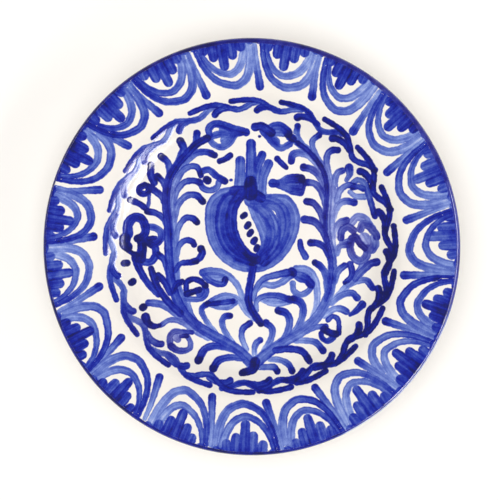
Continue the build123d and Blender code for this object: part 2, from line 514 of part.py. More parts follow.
# --- The strokes of the rim and of the rope round the well -------------------------------------
# One row per unit, anticlockwise angles from +X in degrees and radii: fan centre, radius of the
# fan's tip, angles where the arches start and end at the lip, the lowest point of the inner and
# of the outer arch as (angle, radius), and the divider as (top angle, tip angle, tip radius).
RIM_UNITS = [
    (116.3, 120, 124.8, 108.6, (117, 116.3), (114.8, 108.5), (107.6, 106.2, 106)),
    (98, 119, 105.6, 90, (97, 116.3), (95.6, 108.6), (88.6, 86.6, 107.6)),
    (79.5, 119.5, 86.6, 70.6, (79.6, 116.3), (78.2, 109.2), (70, 67.8, 108.6)),
    (61.3, 120, 68, 52.8, (60, 116), (59, 107.8), (50.4, 48.6, 103.4)),
    (41.3, 119, 49.3, 33, (41, 115.6), (40.4, 107.2), (31.8, 29, 104)),
    (22.5, 117, 31, 13.8, (21.8, 115.2), (21, 106.2), (12.4, 10.2, 105.6)),
    (3.8, 116.5, 10.8, -6.2, (1.6, 116.6), (-0.4, 105.8), (-7.4, -10, 104.2)),
    (-17.5, 119.8, -8, -24.6, (-17.5, 117.2), (-18.8, 106.2), (-25.8, -28.4, 103)),
    (-35.6, 117, -27, -43.2, (-36.8, 113.2), (-37.6, 104.8), (-43, -46.4, 104.6)),
    (-53, 115.8, -44.8, -60.6, (-53, 113.2), (-54.4, 105.2), (-62, -65.2, 103.6)),
    (-71.3, 117.5, -63, -79.6, (-71.5, 114.8), (-72.4, 106.8), (-81, -84.2, 105.2)),
    (-91.5, 116, -82, -99.6, (-91, 113.6), (-92, 105.4), (-101.2, -104.4, 104.2)),
    (-112, 117.5, -102.6, -119.2, (-112.6, 115.6), (-113.4, 105.8), (-121.6, -125, 107.2)),
    (-132.1, 119.5, -123.6, -141, (-132.6, 117), (-134, 107.6), (-142.4, -145, 106.8)),
    (-152.5, 119, -142.8, -160.6, (-153, 118.4), (-155, 108.4), (-161.6, -165.4, 105.8)),
    (-172, 120.5, -163.4, -179.8, (-172, 118.6), (-173, 109.6), (-181, -183.8, 106.4)),
    (171.7, 120, 178.5, 163.6, (170.6, 118), (171, 109), (163.2, 159.2, 108.6)),
    (151.8, 119.7, 160.4, 143.2, (151.6, 118), (151, 109.8), (142.8, 140.4, 106.8)),
    (135, 119.5, 142.8, 127, (135.2, 117), (133.2, 109.2), (126.6, 124.3, 108.8)),
]

# One row per stroke of the rope, by the angle and radius of its round head. The long strokes on
# the outer side also have the radius of the trough that they swing down to.
ROPE_OUTER_HEADS = [(114.5, 98.6, 92.8), (97.8, 98.6, 92.8), (78.1, 99.1, 91.2), (60, 98.8, 90.7),
                    (43.2, 97.8, 90), (24.8, 96.2, 90.2), (8.6, 96.6, 91), (-9.2, 97.2, 90.3),
                    (-24.6, 97.3, 90.5), (-43.2, 96.7, 91), (-58.6, 97.2, 92), (-73.7, 97.9, 92),
                    (-89, 97.8, 91.3), (-106.5, 97.4, 91.8), (-124.9, 97.5, 91), (-142.3, 97.3, 91.5),
                    (-158.5, 97.9, 93), (-177.3, 98.2, 94), (-194.5, 98.5, 93.5), (-211.2, 98.7, 92.6),
                    (-228, 98.4, 93)]
ROPE_INNER_HEADS = [(105.4, 92.4), (87.6, 92.2), (70.4, 92.5), (53.3, 91.2), (34.9, 89.2),
                    (15.6, 88.9), (-1.8, 91), (-18, 90.1), (-35.7, 89.7), (-53.2, 91.1), (-67.4, 91),
                    (-82.2, 90.9), (-99, 92), (-118.5, 92), (-132.8, 90.4), (-151.3, 91.7),
                    (-167.6, 92.8), (-184.5, 92.2), (-202, 92.5), (-218.5, 92.3), (-238.2, 92.2)]

FAN_BASE_RADIUS = 136.0
PETAL_START_RADIUS = 139.5  # past the lip, so that a petal's first end is never seen
FAN_STEP = 2.4              # angle between two petals of a fan
FAN_PETAL_LENGTHS = [1.0, 0.63, 0.34, 0.1]
PETAL_BASE_WIDTH = 8.2
PETAL_WIDTH = 6.0
ARCH_TOP_RADIUS = 133.5
INNER_ARCH_INSET = (1.0, 1.4)    # the inner arch starts and ends this many degrees further in
INNER_ARCH_WIDTHS = (2.6, 6.0)
OUTER_ARCH_WIDTHS = (3.0, 6.8)
DIVIDER_TOP_RADIUS = 131.0
DIVIDER_BEND_RADIUS = 120.0
DIVIDER_WIDTHS = (2.8, 5.6)
LONG_STROKE_WIDTHS = (3.5, 3.9)
SHORT_STROKE_WIDTHS = (4.6, 3.4)

# Points of an arch, as how far each lies on the way to the lowest point, in angle and in radius.
OUTER_ARCH_SHAPE = [
    (0, 0), (0.1, 0.42), (0.36, 0.78), (1, 1), (0.3, 0.86), (-0.02, 0.5), (0, 0),
]
INNER_ARCH_SHAPE = [(0, 0), (0.24, 0.58), (1, 1), (0.36, 0.78), (0, 0)]
# Points of the rope's long strokes, in degrees from the head and as a share of the way down to
# the trough, and of its short strokes, in degrees and millimetres from the head.
LONG_STROKE_SHAPE = [(0, 0), (-9, 0), (-14.5, 0.55), (-18.6, 1), (-23.5, 0.6), (-28, 0.1)]
SHORT_STROKE_SHAPE = [(0, -0.2), (-2, 1.8), (-9, 1.2)]


def polar(angle, radius):
    """A point at this angle, in degrees, and radius."""
    return (radius * cos(radians(angle)), radius * sin(radians(angle)))


def fan_strokes(centre, tip_radius):
    """The petals of a half flower that hangs from the lip, longest in the middle."""
    petals = []
    for step in range(1 - len(FAN_PETAL_LENGTHS), len(FAN_PETAL_LENGTHS)):
        reach = (FAN_BASE_RADIUS - tip_radius) * FAN_PETAL_LENGTHS[abs(step)]
        angle = centre + step * FAN_STEP
        tip = polar(angle, FAN_BASE_RADIUS - reach + PETAL_WIDTH / 2)
        base = polar(angle, PETAL_START_RADIUS)
        petals.append(([base, tip], PETAL_BASE_WIDTH, PETAL_WIDTH))
    return petals


def arch_stroke(start, end, low, shape, widths):
    """An arch that hangs from the lip at start and end and is lowest at low."""
    low_angle, low_radius = low
    drop = ARCH_TOP_RADIUS - low_radius
    turn = shape.index((1, 1))
    points = []
    for index, (across, down) in enumerate(shape):
        side = start if index <= turn else end
        points.append(polar(side + (low_angle - side) * across, ARCH_TOP_RADIUS - drop * down))
    return (points, *widths)


fans, inner_arches, outer_arches, dividers = [], [], [], []
for fan, tip, start, end, inner_low, outer_low, divider in RIM_UNITS:
    fans += fan_strokes(fan, tip)
    inner_start = start - INNER_ARCH_INSET[0]
    inner_end = end + INNER_ARCH_INSET[1]
    inner_arches.append(
        arch_stroke(inner_start, inner_end, inner_low, INNER_ARCH_SHAPE, INNER_ARCH_WIDTHS)
    )
    outer_arches.append(arch_stroke(start, end, outer_low, OUTER_ARCH_SHAPE, OUTER_ARCH_WIDTHS))
    top, bottom, radius = divider
    divider_points = [
        polar(top, DIVIDER_TOP_RADIUS),
        polar((top + bottom) / 2, DIVIDER_BEND_RADIUS),
        polar(bottom, radius),
    ]
    dividers.append((divider_points, *DIVIDER_WIDTHS))

outer_rope = []
for head, radius, trough in ROPE_OUTER_HEADS:
    points = [polar(head + a, radius - (radius - trough) * d) for a, d in LONG_STROKE_SHAPE]
    outer_rope.append((points, *LONG_STROKE_WIDTHS))
inner_rope = []
for head, radius in ROPE_INNER_HEADS:
    points = [polar(head + a, radius + r) for a, r in SHORT_STROKE_SHAPE]
    inner_rope.append((points, *SHORT_STROKE_WIDTHS))

painted_layer("pomegranate_lobes", LOBE_STROKES)
painted_layer("pomegranate_seeds", SEED_STROKES)
painted_layer("pomegranate_crown", CROWN_STROKES)
painted_layer("pomegranate_stem", STEM_STROKES)
painted_layer("stem_leaves", STEM_LEAF_STROKES)
painted_layer("base_sprig", BASE_STROKES)
painted_layer("left_vine", LEFT_VINE_STROKES)
painted_layer("right_vine", RIGHT_VINE_STROKES)
painted_layer("left_flower", LEFT_FLOWER_STROKES)
painted_layer("right_flower", RIGHT_FLOWER_STROKES)
painted_layer("top_buds", BUD_STROKES)
painted_layer("small_blossoms", BLOSSOM_STROKES)
painted_layer("left_inner_leaves", LEFT_INNER_STROKES)
painted_layer("left_outer_leaves", LEFT_OUTER_STROKES)
painted_layer("right_inner_leaves", RIGHT_INNER_STROKES)
painted_layer("right_outer_leaves", RIGHT_OUTER_STROKES)
painted_layer("loose_dabs", DAB_STROKES)
painted_layer("rope_outer_strokes", outer_rope)
painted_layer("rope_inner_strokes", inner_rope)
painted_layer("rim_fans", fans)
painted_layer("rim_dividers", dividers)
painted_layer("rim_inner_arches", inner_arches)
painted_layer("rim_outer_arches", outer_arches)
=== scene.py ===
"""Looks of the hand painted plate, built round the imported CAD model.

Lengths are in millimetres until a mesh is made. The painting is a set of brush strokes, each with
a width and a load of cobalt that change along it. They are laid over one grid across the plate:
every motif becomes its own closed mesh, which follows the glaze and stands slightly proud of it.
"""

from math import cos, pi, radians, sin, tan

import bpy
import numpy as np
from mathutils import Matrix, Vector


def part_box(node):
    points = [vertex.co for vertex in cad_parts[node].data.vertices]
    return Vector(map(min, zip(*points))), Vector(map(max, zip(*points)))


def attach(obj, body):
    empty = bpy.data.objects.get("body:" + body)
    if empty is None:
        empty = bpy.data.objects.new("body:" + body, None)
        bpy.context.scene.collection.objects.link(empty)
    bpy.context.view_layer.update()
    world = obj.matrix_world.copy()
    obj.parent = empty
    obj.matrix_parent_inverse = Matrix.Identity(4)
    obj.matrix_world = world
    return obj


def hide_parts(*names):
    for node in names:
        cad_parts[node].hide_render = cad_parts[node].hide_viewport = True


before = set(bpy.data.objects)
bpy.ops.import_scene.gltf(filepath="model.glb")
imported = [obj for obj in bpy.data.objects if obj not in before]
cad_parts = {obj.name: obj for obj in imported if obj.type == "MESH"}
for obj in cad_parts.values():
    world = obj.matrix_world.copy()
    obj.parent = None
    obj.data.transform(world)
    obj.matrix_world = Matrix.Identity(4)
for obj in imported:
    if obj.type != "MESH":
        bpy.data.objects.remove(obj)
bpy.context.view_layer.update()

MM = 0.001
rng = np.random.default_rng(19)

# --- The plate's profile, as the CAD model has it ---
PLATE_DIAMETER = 279.0
PAINT = 0.25
GLAZE = 0.5
WALL = 6.0
FLOOR_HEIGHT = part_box("pomegranate_seeds")[0][2] / MM - GLAZE
WALL_ANGLE = radians(32.0)
RIM_ANGLE = radians(14.0)
WELL_RADIUS = 79.0
RIM_INNER_RADIUS = 102.0
WELL_BEND = 34.0
SHOULDER_BEND = 22.0
BACK_WELL_BEND = 14.0
BACK_GLAZE = 0.35
FOOT_OUTER_RADIUS = 68.0
FOOT_INNER_RADIUS = 60.0
FOOT_EDGE = 1.4
LIP_RADIUS = WALL / 2
LIP_CENTRE_R = PLATE_DIAMETER / 2 - PAINT - GLAZE - LIP_RADIUS
BACK_HEIGHT = FLOOR_HEIGHT - WALL
SHOULDER_HEIGHT = FLOOR_HEIGHT + (RIM_INNER_RADIUS - WELL_RADIUS) * tan(WALL_ANGLE)
LIP_CENTRE_Z = (
    SHOULDER_HEIGHT
    + (LIP_CENTRE_R - LIP_RADIUS * sin(RIM_ANGLE) - RIM_INNER_RADIUS) * tan(RIM_ANGLE)
    - LIP_RADIUS * cos(RIM_ANGLE)
)
LIP_CENTRE = (LIP_CENTRE_R, LIP_CENTRE_Z)


def arc(centre, radius, start, end, count):
    """Points of an arc in the (r, z) plane, angles in radians."""
    angle = np.linspace(start, end, count)
    return np.c_[centre[0] + radius * np.cos(angle), centre[1] + radius * np.sin(angle)]


def run(start, end, count):
    """Points of a straight run, without its last one."""
    share = np.linspace(0, 1, count, endpoint=False)[:, None]
    return np.array(start) * (1 - share) + np.array(end) * share


def wall_line(start, end, depth, bends, counts):
    """A line outwards from start to end that turns at the well's and the shoulder's corner.

    It lies depth above the clay face. bends are the two radii, and counts the number of points in
    each straight and each bend, in order. The last point is left out.
    """
    scale = depth / (1 + cos(WALL_ANGLE - RIM_ANGLE))
    well = (WELL_RADIUS - depth * tan(WALL_ANGLE / 2), FLOOR_HEIGHT + depth)
    shoulder = (
        RIM_INNER_RADIUS - scale * (sin(WALL_ANGLE) + sin(RIM_ANGLE)),
        SHOULDER_HEIGHT + scale * (cos(WALL_ANGLE) + cos(RIM_ANGLE)),
    )
    pieces = []
    turns = ((well, 0.0, WALL_ANGLE, 1), (shoulder, WALL_ANGLE, RIM_ANGLE, -1))
    for (corner, before, after, side), bend, straight, curved in zip(
        turns, bends, counts[0::2], counts[1::2]
    ):
        reach = bend * tan(side * (after - before) / 2)
        first = (corner[0] - reach * cos(before), corner[1] - reach * sin(before))
        centre = (first[0] - side * bend * sin(before), first[1] + side * bend * cos(before))
        quarter = side * pi / 2
        pieces.append(run(start, first, straight))
        pieces.append(arc(centre, bend, before - quarter, after - quarter, curved)[:-1])
        start = (corner[0] + reach * cos(after), corner[1] + reach * sin(after))
    return np.vstack([*pieces, run(start, end, counts[-1])])


def face_profile(depth, lip_end):
    """The face from the axis out to the angle lip_end on the lip, at depth above the clay."""
    lip = arc(LIP_CENTRE, LIP_RADIUS + depth, pi / 2 + RIM_ANGLE, lip_end, 22)
    bends = (WELL_BEND - depth, SHOULDER_BEND + depth)
    axis = (0.0, FLOOR_HEIGHT + depth)
    return np.vstack([wall_line(axis, lip[0], depth, bends, (46, 22, 12, 14, 30)), lip])


def back_profile(depth):
    """The back from the lip to the foot ring's outer wall, at depth under the clay."""
    foot = (FOOT_OUTER_RADIUS + depth, BACK_HEIGHT - depth)
    lip = arc(LIP_CENTRE, LIP_RADIUS + depth, RIM_ANGLE - pi / 2, 0, 2)[0]
    bends = (BACK_WELL_BEND + depth, SHOULDER_BEND - WALL - depth)
    line = wall_line(foot, lip, -WALL - depth, bends, (4, 10, 12, 10, 30))
    return np.vstack([line[1:], lip])[::-1]


FACE = face_profile(GLAZE, 0.0)
FACE = FACE[: int(np.argmax(FACE[:, 0])) + 1]


# --- Hand-made unevenness ---
# Long shallow waves over the thrown surface: direction, wavelength (mm), height (mm) and phase.
WAVES = [
    (0.3, 94, 0.10, 0.4), (1.4, 71, 0.08, 2.1), (2.5, 47, 0.05, 4.0), (0.9, 31, 0.025, 1.2),
    (2.0, 19, 0.012, 5.1),
]
THROWING_RING = (0.02, 6.5)  # height and spacing of the rings that the fingers left
EVEN_LIP = (105, 30, 0.7)  # from this radius on, over this width, this share fades


def unevenness(x, y):
    """Height of the surface above the true profile: shallow waves and faint throwing rings."""
    height = np.zeros_like(x)
    for direction, length, size, phase in WAVES:
        along = x * cos(direction) + y * sin(direction)
        height += size * np.sin(2 * pi * along / length + phase)
    radius = np.hypot(x, y)
    size, spacing = THROWING_RING
    rings = size * np.sin(2 * pi * radius / spacing + np.arctan2(y, x))
    height += rings * np.clip(radius / 20, 0, 1)
    start, width, share = EVEN_LIP
    return height * (1 - share * np.clip((radius - start) / width, 0, 1))


def glaze_height(x, y):
    """Top of the white glaze over a point of the plate."""
    return np.interp(np.hypot(x, y), FACE[:, 0], FACE[:, 1]) + unevenness(x, y)


# --- Brush strokes: points (mm), start and end width (mm), start and end load of cobalt (0 to 1) ---
# The motifs stand in the order in which they keep an overlap.
MOTIFS = {}
# The two lobes of the pomegranate, swept from the crown down to the stem.
MOTIFS["pomegranate_lobes"] = [
    ([(-10, 37), (-20, 35), (-27, 28), (-28, 16), (-26, 5), (-20, -5), (-10, -12), (0, -14)],
      8, 7.6, 0.55, 0.56),
    ([(-9, 36), (-17, 31), (-20.5, 22), (-20.5, 11), (-16.5, 1), (-9, -6), (0, -9.5)], 9, 8, 0.7, 0.84),
    ([(-8, 35), (-12.5, 28), (-14, 20), (-13, 10), (-9, 1), (-3, -6), (3, -9)], 7.6, 6.6, 0.82, 0.88),
    ([(4, 32), (14, 32), (23, 31), (28.5, 22), (28, 12), (24, 2), (17, -7), (8, -12.5), (0, -14)],
      7, 7.8, 0.53, 0.57),
    ([(2, 31), (12, 30), (19, 26), (22, 17), (20.5, 7), (15.5, -2), (8, -9)], 8, 9, 0.59, 0.66),
    ([(-1.2, 31), (6, 26), (12.5, 19), (15.5, 10), (14, 1), (9, -5)], 8, 8.4, 0.53, 0.68),
    ([(-1, 30), (2, 22), (6, 14), (9, 6), (9.5, -1), (5, -8.5)], 5.2, 8, 0.47, 0.65),
    ([(4, 27), (10, 20), (12.5, 10), (11, 1)], 6, 7, 0.52, 0.62),
]
# Five seeds in the open slit between the lobes.
MOTIFS["pomegranate_seeds"] = [
    ([(-6.4, 20.3), (-4.8, 21.6)], 3.9, 3.7, 0.9, 0.95),
    ([(-3.6, 13.5), (-2.4, 15)], 3.9, 3.9, 0.9, 0.95),
    ([(-1.9, 8.2), (-0.6, 10)], 3.8, 3.8, 0.9, 0.95),
    ([(1, 3.2), (2, 4.7)], 4.2, 4, 0.9, 0.95),
    ([(2.8, -2), (3.6, -0.3)], 3.8, 3.8, 0.9, 0.95),
]
# The calyx: four upright leaves above a knot.
MOTIFS["pomegranate_crown"] = [
    ([(-9, 37), (-8.2, 47), (-8, 58)], 7.4, 6.2, 0.5, 0.6),
    ([(-1, 38), (-0.6, 54), (-0.7, 69.5)], 8.6, 6.2, 0.62, 0.66),
    ([(1.5, 44), (3.6, 54), (6.9, 62)], 6.4, 5.6, 0.58, 0.7),
    ([(6.3, 32), (7.2, 46), (11.2, 56)], 6.6, 6, 0.5, 0.6),
    ([(-1, 44), (-1, 36)], 8, 10, 0.95, 0.9),
    ([(-12, 37.5), (-3, 37.5), (6, 33)], 7, 7, 0.8, 0.8),
]
# The stem under the fruit.
MOTIFS["pomegranate_stem"] = [
    ([(0.5, -14), (-0.3, -20), (-2.2, -31), (-2.2, -38), (0.8, -45), (6, -52.3)], 5, 5, 0.8, 0.95),
]
# Two curled leaves on each side of the stem.
MOTIFS["stem_leaves"] = [
    ([(-4.5, -42), (-6.8, -34), (-11, -25), (-19, -18.5), (-28, -17), (-33.5, -18)], 3, 5.5, 0.35, 0.55),
    ([(-34, -18), (-30, -22.5), (-24, -25.5), (-19.5, -25.5), (-18.2, -22.5)], 4, 4, 0.6, 0.8),
    ([(1.5, -49.5), (-4.5, -44), (-8, -38), (-13, -34.5), (-20, -34), (-28, -38)], 3, 5, 0.35, 0.5),
    ([(-29, -39.5), (-22, -41.3), (-16, -41), (-12, -38.2)], 3.5, 4.6, 0.45, 0.4),
    ([(-31, -39.5), (-22, -38.5), (-13, -37.2)], 3.2, 3.6, 0.9, 0.7),
    ([(0.8, -36), (3, -28), (8, -22), (17, -19.2), (27.5, -17)], 3, 5.4, 0.45, 0.8),
    ([(3, -29), (7.5, -25.5), (13.5, -26.5), (20, -24.3), (27, -19)], 4, 4.6, 0.4, 0.55),
    ([(3, -43.5), (3, -37.5), (8, -33.8), (17, -33.3), (26, -36)], 3, 4.6, 0.45, 0.85),
    ([(7, -36.5), (14, -39), (21, -38.6), (27, -36.5)], 3, 4, 0.35, 0.5),
    ([(27, -16.5), (28.2, -18)], 5, 5, 0.8, 0.8),
    ([(-31, -20), (-25, -21.3), (-20.5, -21)], 5.6, 4.6, 0.42, 0.4),
    ([(9, -36.4), (15, -36), (22, -36.6)], 3.6, 3.6, 0.36, 0.42),
    ([(28, -18.5), (33, -19.5), (37.5, -22)], 5, 5, 0.5, 0.6),
]
# The dab where both vines start.
MOTIFS["base_sprig"] = [
    ([(2.2, -78.5), (0.5, -83.4), (-6.6, -85.7)], 7, 4.2, 0.95, 0.95),
]
# The left vine and the second, thinner pass beside it.
MOTIFS["left_vine"] = [
    ([(1, -81), (-8, -72), (-18, -65.5), (-29, -59.5), (-37, -54.5), (-44, -48.5), (-49, -41),
      (-53, -32), (-55.5, -22), (-56.5, -10), (-57, 2), (-57.2, 14), (-58.5, 27), (-58.3, 38),
      (-56, 47), (-50.5, 56), (-44, 63), (-38, 69), (-30, 73.5)], 7.2, 4.8, 0.62, 0.9),
    ([(-47, -41), (-51, -28), (-52.5, -14), (-53, 2), (-54, 16), (-55, 28), (-54.3, 38)], 6, 5, 0.5, 0.42),
]
# The right vine and its thinner passes.
MOTIFS["right_vine"] = [
    ([(1, -81), (11, -72), (23, -64), (34, -57.3), (43, -49), (49, -40), (53, -29), (54.6, -16),
      (53.6, -5), (51, 6), (50.2, 18), (51, 30), (51.3, 40), (49.2, 50), (44.5, 58), (38, 65),
      (31.5, 70), (25.5, 74)], 7.4, 4.8, 0.56, 0.42),
    ([(50, -36), (52.8, -27), (54, -16), (53, -5), (50.4, 6), (49.6, 18), (50.4, 30), (50.7, 40),
      (48.6, 50), (44, 58), (37.6, 65), (31, 70)], 2.8, 3.4, 0.7, 0.9),
    ([(46, -46), (51, -33), (50.8, -20)], 3.5, 4.5, 0.42, 0.45),
    ([(55.5, -14), (55, 0), (54.2, 14), (54.6, 28), (54.6, 40)], 3.5, 3.5, 0.3, 0.35),
]
# The four-petalled flower outside the left vine, with its two dots.
MOTIFS["left_flower"] = [
    ([(-84.2, 8), (-84, 15), (-80, 19.6), (-75, 18.2), (-72.6, 12), (-74, 7), (-78, 5.2)],
      6.4, 5.4, 0.78, 0.95),
    ([(-86, 5.6), (-86.4, 2), (-84.6, -0.4)], 7, 6.4, 0.9, 0.9),
    ([(-84, -3), (-80, -5.5), (-76, -5)], 3, 4, 0.9, 0.95),
    ([(-76, 5), (-75, -1.5), (-76, -8.5)], 5.6, 6.8, 0.95, 0.9),
    ([(-76, -10.3), (-70, -11), (-66.5, -7.5), (-66, -1.5), (-69.5, 1.5)], 4.8, 4.8, 0.76, 0.82),
    ([(-72, 13.2), (-66.5, 12.6), (-62.3, 9.5), (-62.3, 5), (-66.5, 1.6), (-71, 2.8)], 4.4, 5, 0.6, 0.92),
    ([(-71, 5), (-66, 5.8)], 3.4, 2.6, 0.95, 0.85),
    ([(-86.6, -11.4), (-85, -11.4)], 4.8, 4.6, 0.9, 0.9),
    ([(-81.8, -24.6), (-81, -24)], 4.6, 4.6, 0.9, 0.9),
]
# The four-petalled flower outside the right vine.
MOTIFS["right_flower"] = [
    ([(60.2, 6), (61, 11), (65, 13.4), (68.6, 11)], 4.6, 4.8, 0.72, 0.6),
    ([(57.8, -5), (59.3, 0.2), (65.5, 1.6)], 3, 4.4, 0.38, 0.7),
    ([(60.8, 3), (64, 3.6), (68, 5.2)], 3.4, 3.4, 0.46, 0.5),
    ([(67.6, 16.6), (71, 20), (76, 19.2), (79, 15), (81, 12.5)], 5, 5.6, 0.4, 0.5),
    ([(73.4, 12), (75, 15.4), (79, 14.5)], 5, 5.4, 0.56, 0.56),
    ([(80, 13), (83.6, 9), (84.3, 7)], 5, 5, 0.52, 0.66),
    ([(82.5, 6.5), (83, 2), (81, -1.4)], 5.4, 6.2, 0.46, 0.52),
    ([(76, 5.5), (78.5, 1.5), (79, -1)], 8, 7, 0.36, 0.46),
    ([(67.4, 5.6), (66.4, -1), (68.7, -7), (73.5, -9.5), (77.5, -6), (78, -1)], 4.8, 5.2, 0.7, 0.54),
    ([(67.6, 6), (70.4, 6.6), (72.8, 2.6), (76.5, -1)], 4.4, 4.2, 0.8, 0.78),
    ([(76, -9), (74, -15), (70, -21)], 5.2, 5.2, 0.38, 0.6),
]
# The two buds between the tops of the vines.
MOTIFS["top_buds"] = [
    ([(-28.5, 75.5), (-29, 79.5), (-25.5, 82.7), (-20, 82.4), (-13, 79.8), (-4, 77.3)], 4.4, 5.4, 0.7, 0.8),
    ([(-29, 72.8), (-26, 69.2), (-21, 67.3), (-16, 69.6), (-12, 75.5)], 3.6, 5, 0.6, 0.6),
    ([(-28, 74), (-22.5, 76), (-16, 76), (-9, 77)], 4.2, 5, 0.66, 0.5),
    ([(-19, 79), (-13.5, 78.4), (-8, 77.4)], 6.6, 5.4, 0.5, 0.6),
    ([(-18.5, 72), (-14, 74.4)], 6, 6, 0.5, 0.5),
    ([(2.2, 80.8), (6.5, 81.2), (10.5, 78.8), (13, 77)], 5.4, 6, 0.8, 0.85),
    ([(11.5, 79.5), (15.5, 81.4), (20, 81), (24, 77.5), (24.6, 76)], 5, 6, 0.6, 0.9),
    ([(12.5, 77), (16.5, 78), (21, 77.6)], 6, 7, 0.5, 0.56),
    ([(9.5, 77), (13, 73.4), (16.5, 71)], 5, 5, 0.5, 0.5),
    ([(7.5, 78.5), (12, 73), (15.8, 68.8), (20, 66.7), (25.5, 69.3)], 5, 4.2, 0.75, 0.6),
    ([(24, 76), (28, 72.5)], 5, 4.6, 0.8, 0.8),
]
# The small blossoms along both vines.
MOTIFS["small_blossoms"] = [
    ([(-30.9, 45.2), (-30.2, 44.7)], 5.2, 5.2, 0.95, 0.95),
    ([(-34.6, 50.8), (-29.5, 52), (-24.5, 48), (-18.5, 44.2)], 4, 4.6, 0.7, 0.85),
    ([(-35.3, 42.5), (-33, 39.3), (-28.5, 38), (-24, 40), (-22.6, 43.5)], 4, 4, 0.75, 0.5),
    ([(-72.6, 41.7), (-76.2, 39.6), (-76, 36.6), (-72.8, 35.6), (-70, 38), (-70.8, 41)], 4, 4, 0.9, 0.9),
    ([(14, 42.9), (16.5, 42.7)], 5.6, 5, 0.72, 0.66),
    ([(16, 42.5), (21, 42.2), (26, 41.6)], 5, 10, 0.62, 0.52),
    ([(25, 42), (31.5, 41.6)], 10, 8, 0.5, 0.6),
    ([(20, 43.5), (26, 46.2), (33, 45.8)], 5, 6.4, 0.55, 0.95),
    ([(21, 40.5), (27, 37.8), (32.6, 36.8)], 4.4, 5.4, 0.5, 0.7),
    ([(33.5, 46), (34.2, 42), (33, 37.5)], 4.6, 5, 0.9, 0.6),
    ([(57.4, 31), (59.6, 38), (64.5, 41.6), (68.5, 41.2)], 4, 4, 0.35, 0.7),
    ([(68, 42.8), (71.6, 45.2), (75.6, 43), (78.3, 37), (80.2, 30.5), (83, 20.8)], 3.8, 4, 0.5, 0.9),
    ([(68, 40), (71.5, 40.6), (75.3, 39.2)], 3.6, 3.8, 0.8, 0.6),
    ([(66.2, 37), (70, 34.2), (76, 33.8)], 3, 4.4, 0.4, 0.4),
    ([(-45, -29.5), (-44.6, -24.6), (-40.6, -22.4), (-35.6, -23.6), (-31.6, -27)], 3.6, 4, 0.85, 0.9),
    ([(-44.6, -32.5), (-39.5, -30.8), (-36, -29.6)], 4.4, 4, 0.95, 0.95),
    ([(-35.6, -31.6), (-34.6, -31.2)], 6, 6, 0.5, 0.5),
    ([(-32, -27.6), (-31.2, -31.5), (-34.5, -35.6), (-40, -36.2), (-45, -35.8)], 4, 3.4, 0.7, 0.5),
    ([(-55.6, -66), (-55.8, -61), (-52.6, -58), (-47.6, -58.4), (-41, -58.8)], 4, 3, 0.6, 0.7),
    ([(-52, -61.5), (-50.5, -63.5)], 6, 4.4, 0.35, 0.4),
    ([(-48.5, -61.4), (-44.6, -61.2)], 2.6, 3, 0.8, 0.8),
    ([(-55, -67.6), (-51, -70.4), (-46, -71), (-42.4, -69.4), (-42, -65.8), (-43.6, -62.2)],
      4.4, 3.2, 0.8, 0.45),
    ([(51.6, -49.6), (54.8, -47.2), (58.6, -49.8), (59.2, -58.4)], 3.2, 3.2, 0.7, 0.8),
    ([(37, -58), (43, -54.8), (50, -54.2)], 3, 4, 0.4, 0.7),
    ([(49, -56), (53.5, -58.5), (57, -59)], 5, 4.6, 0.95, 0.9),
    ([(46.8, -58.8), (47.8, -62), (51.3, -63.8), (55.5, -61.4)], 3.2, 3.8, 0.85, 0.7),
]
# Leaves of the left vine that turn towards the fruit.
MOTIFS["left_inner_leaves"] = [
    ([(-13, -66), (-18.5, -58), (-20.5, -51.5), (-18.5, -47.8), (-15, -47.3)], 3.5, 4.2, 0.35, 0.85),
    ([(-4, -70), (-7, -62), (-6.2, -56), (-1.5, -52.3)], 3.5, 4.4, 0.35, 0.85),
    ([(-24, -60), (-31.5, -50.5), (-34.5, -43), (-30, -38.8)], 3, 4, 0.35, 0.85),
    ([(-37, -55), (-42, -46), (-44.5, -37)], 4.5, 3.6, 0.7, 0.35),
    ([(-54, -31), (-51.5, -25.8), (-47.8, -24.3)], 3.6, 4.2, 0.8, 0.95),
    ([(-52.5, -17), (-49, -12), (-43, -11), (-38, -10)], 3, 4.4, 0.7, 0.85),
    ([(-42, -11.3), (-36.5, -8.8), (-33.8, -4.5), (-34.8, -1.8)], 3.6, 5, 0.7, 0.85),
    ([(-52, -9), (-49.8, 0), (-45.5, 4), (-41, 3.3), (-39.5, 1)], 3.4, 4.2, 0.35, 0.9),
    ([(-52, 4), (-50, 13), (-45.5, 19), (-40.5, 19), (-37.5, 16.3)], 3.6, 4.4, 0.35, 0.9),
    ([(-53, 18), (-50.5, 28), (-44.5, 34.3), (-38, 34.6), (-33.6, 30.4)], 4, 4.6, 0.4, 0.9),
    ([(-54, 28), (-51.5, 37), (-46.5, 43.2), (-40.5, 44.6), (-35.6, 43.4)], 4, 4.2, 0.4, 0.8),
    ([(-54, 38), (-49, 49), (-43.5, 53.8), (-37.6, 53.8), (-34.8, 48.2)], 5, 3.6, 0.4, 0.85),
    ([(-50, 48), (-44.5, 57.5), (-38, 63), (-31, 64), (-25.4, 61.8)], 4, 4.4, 0.4, 0.9),
]
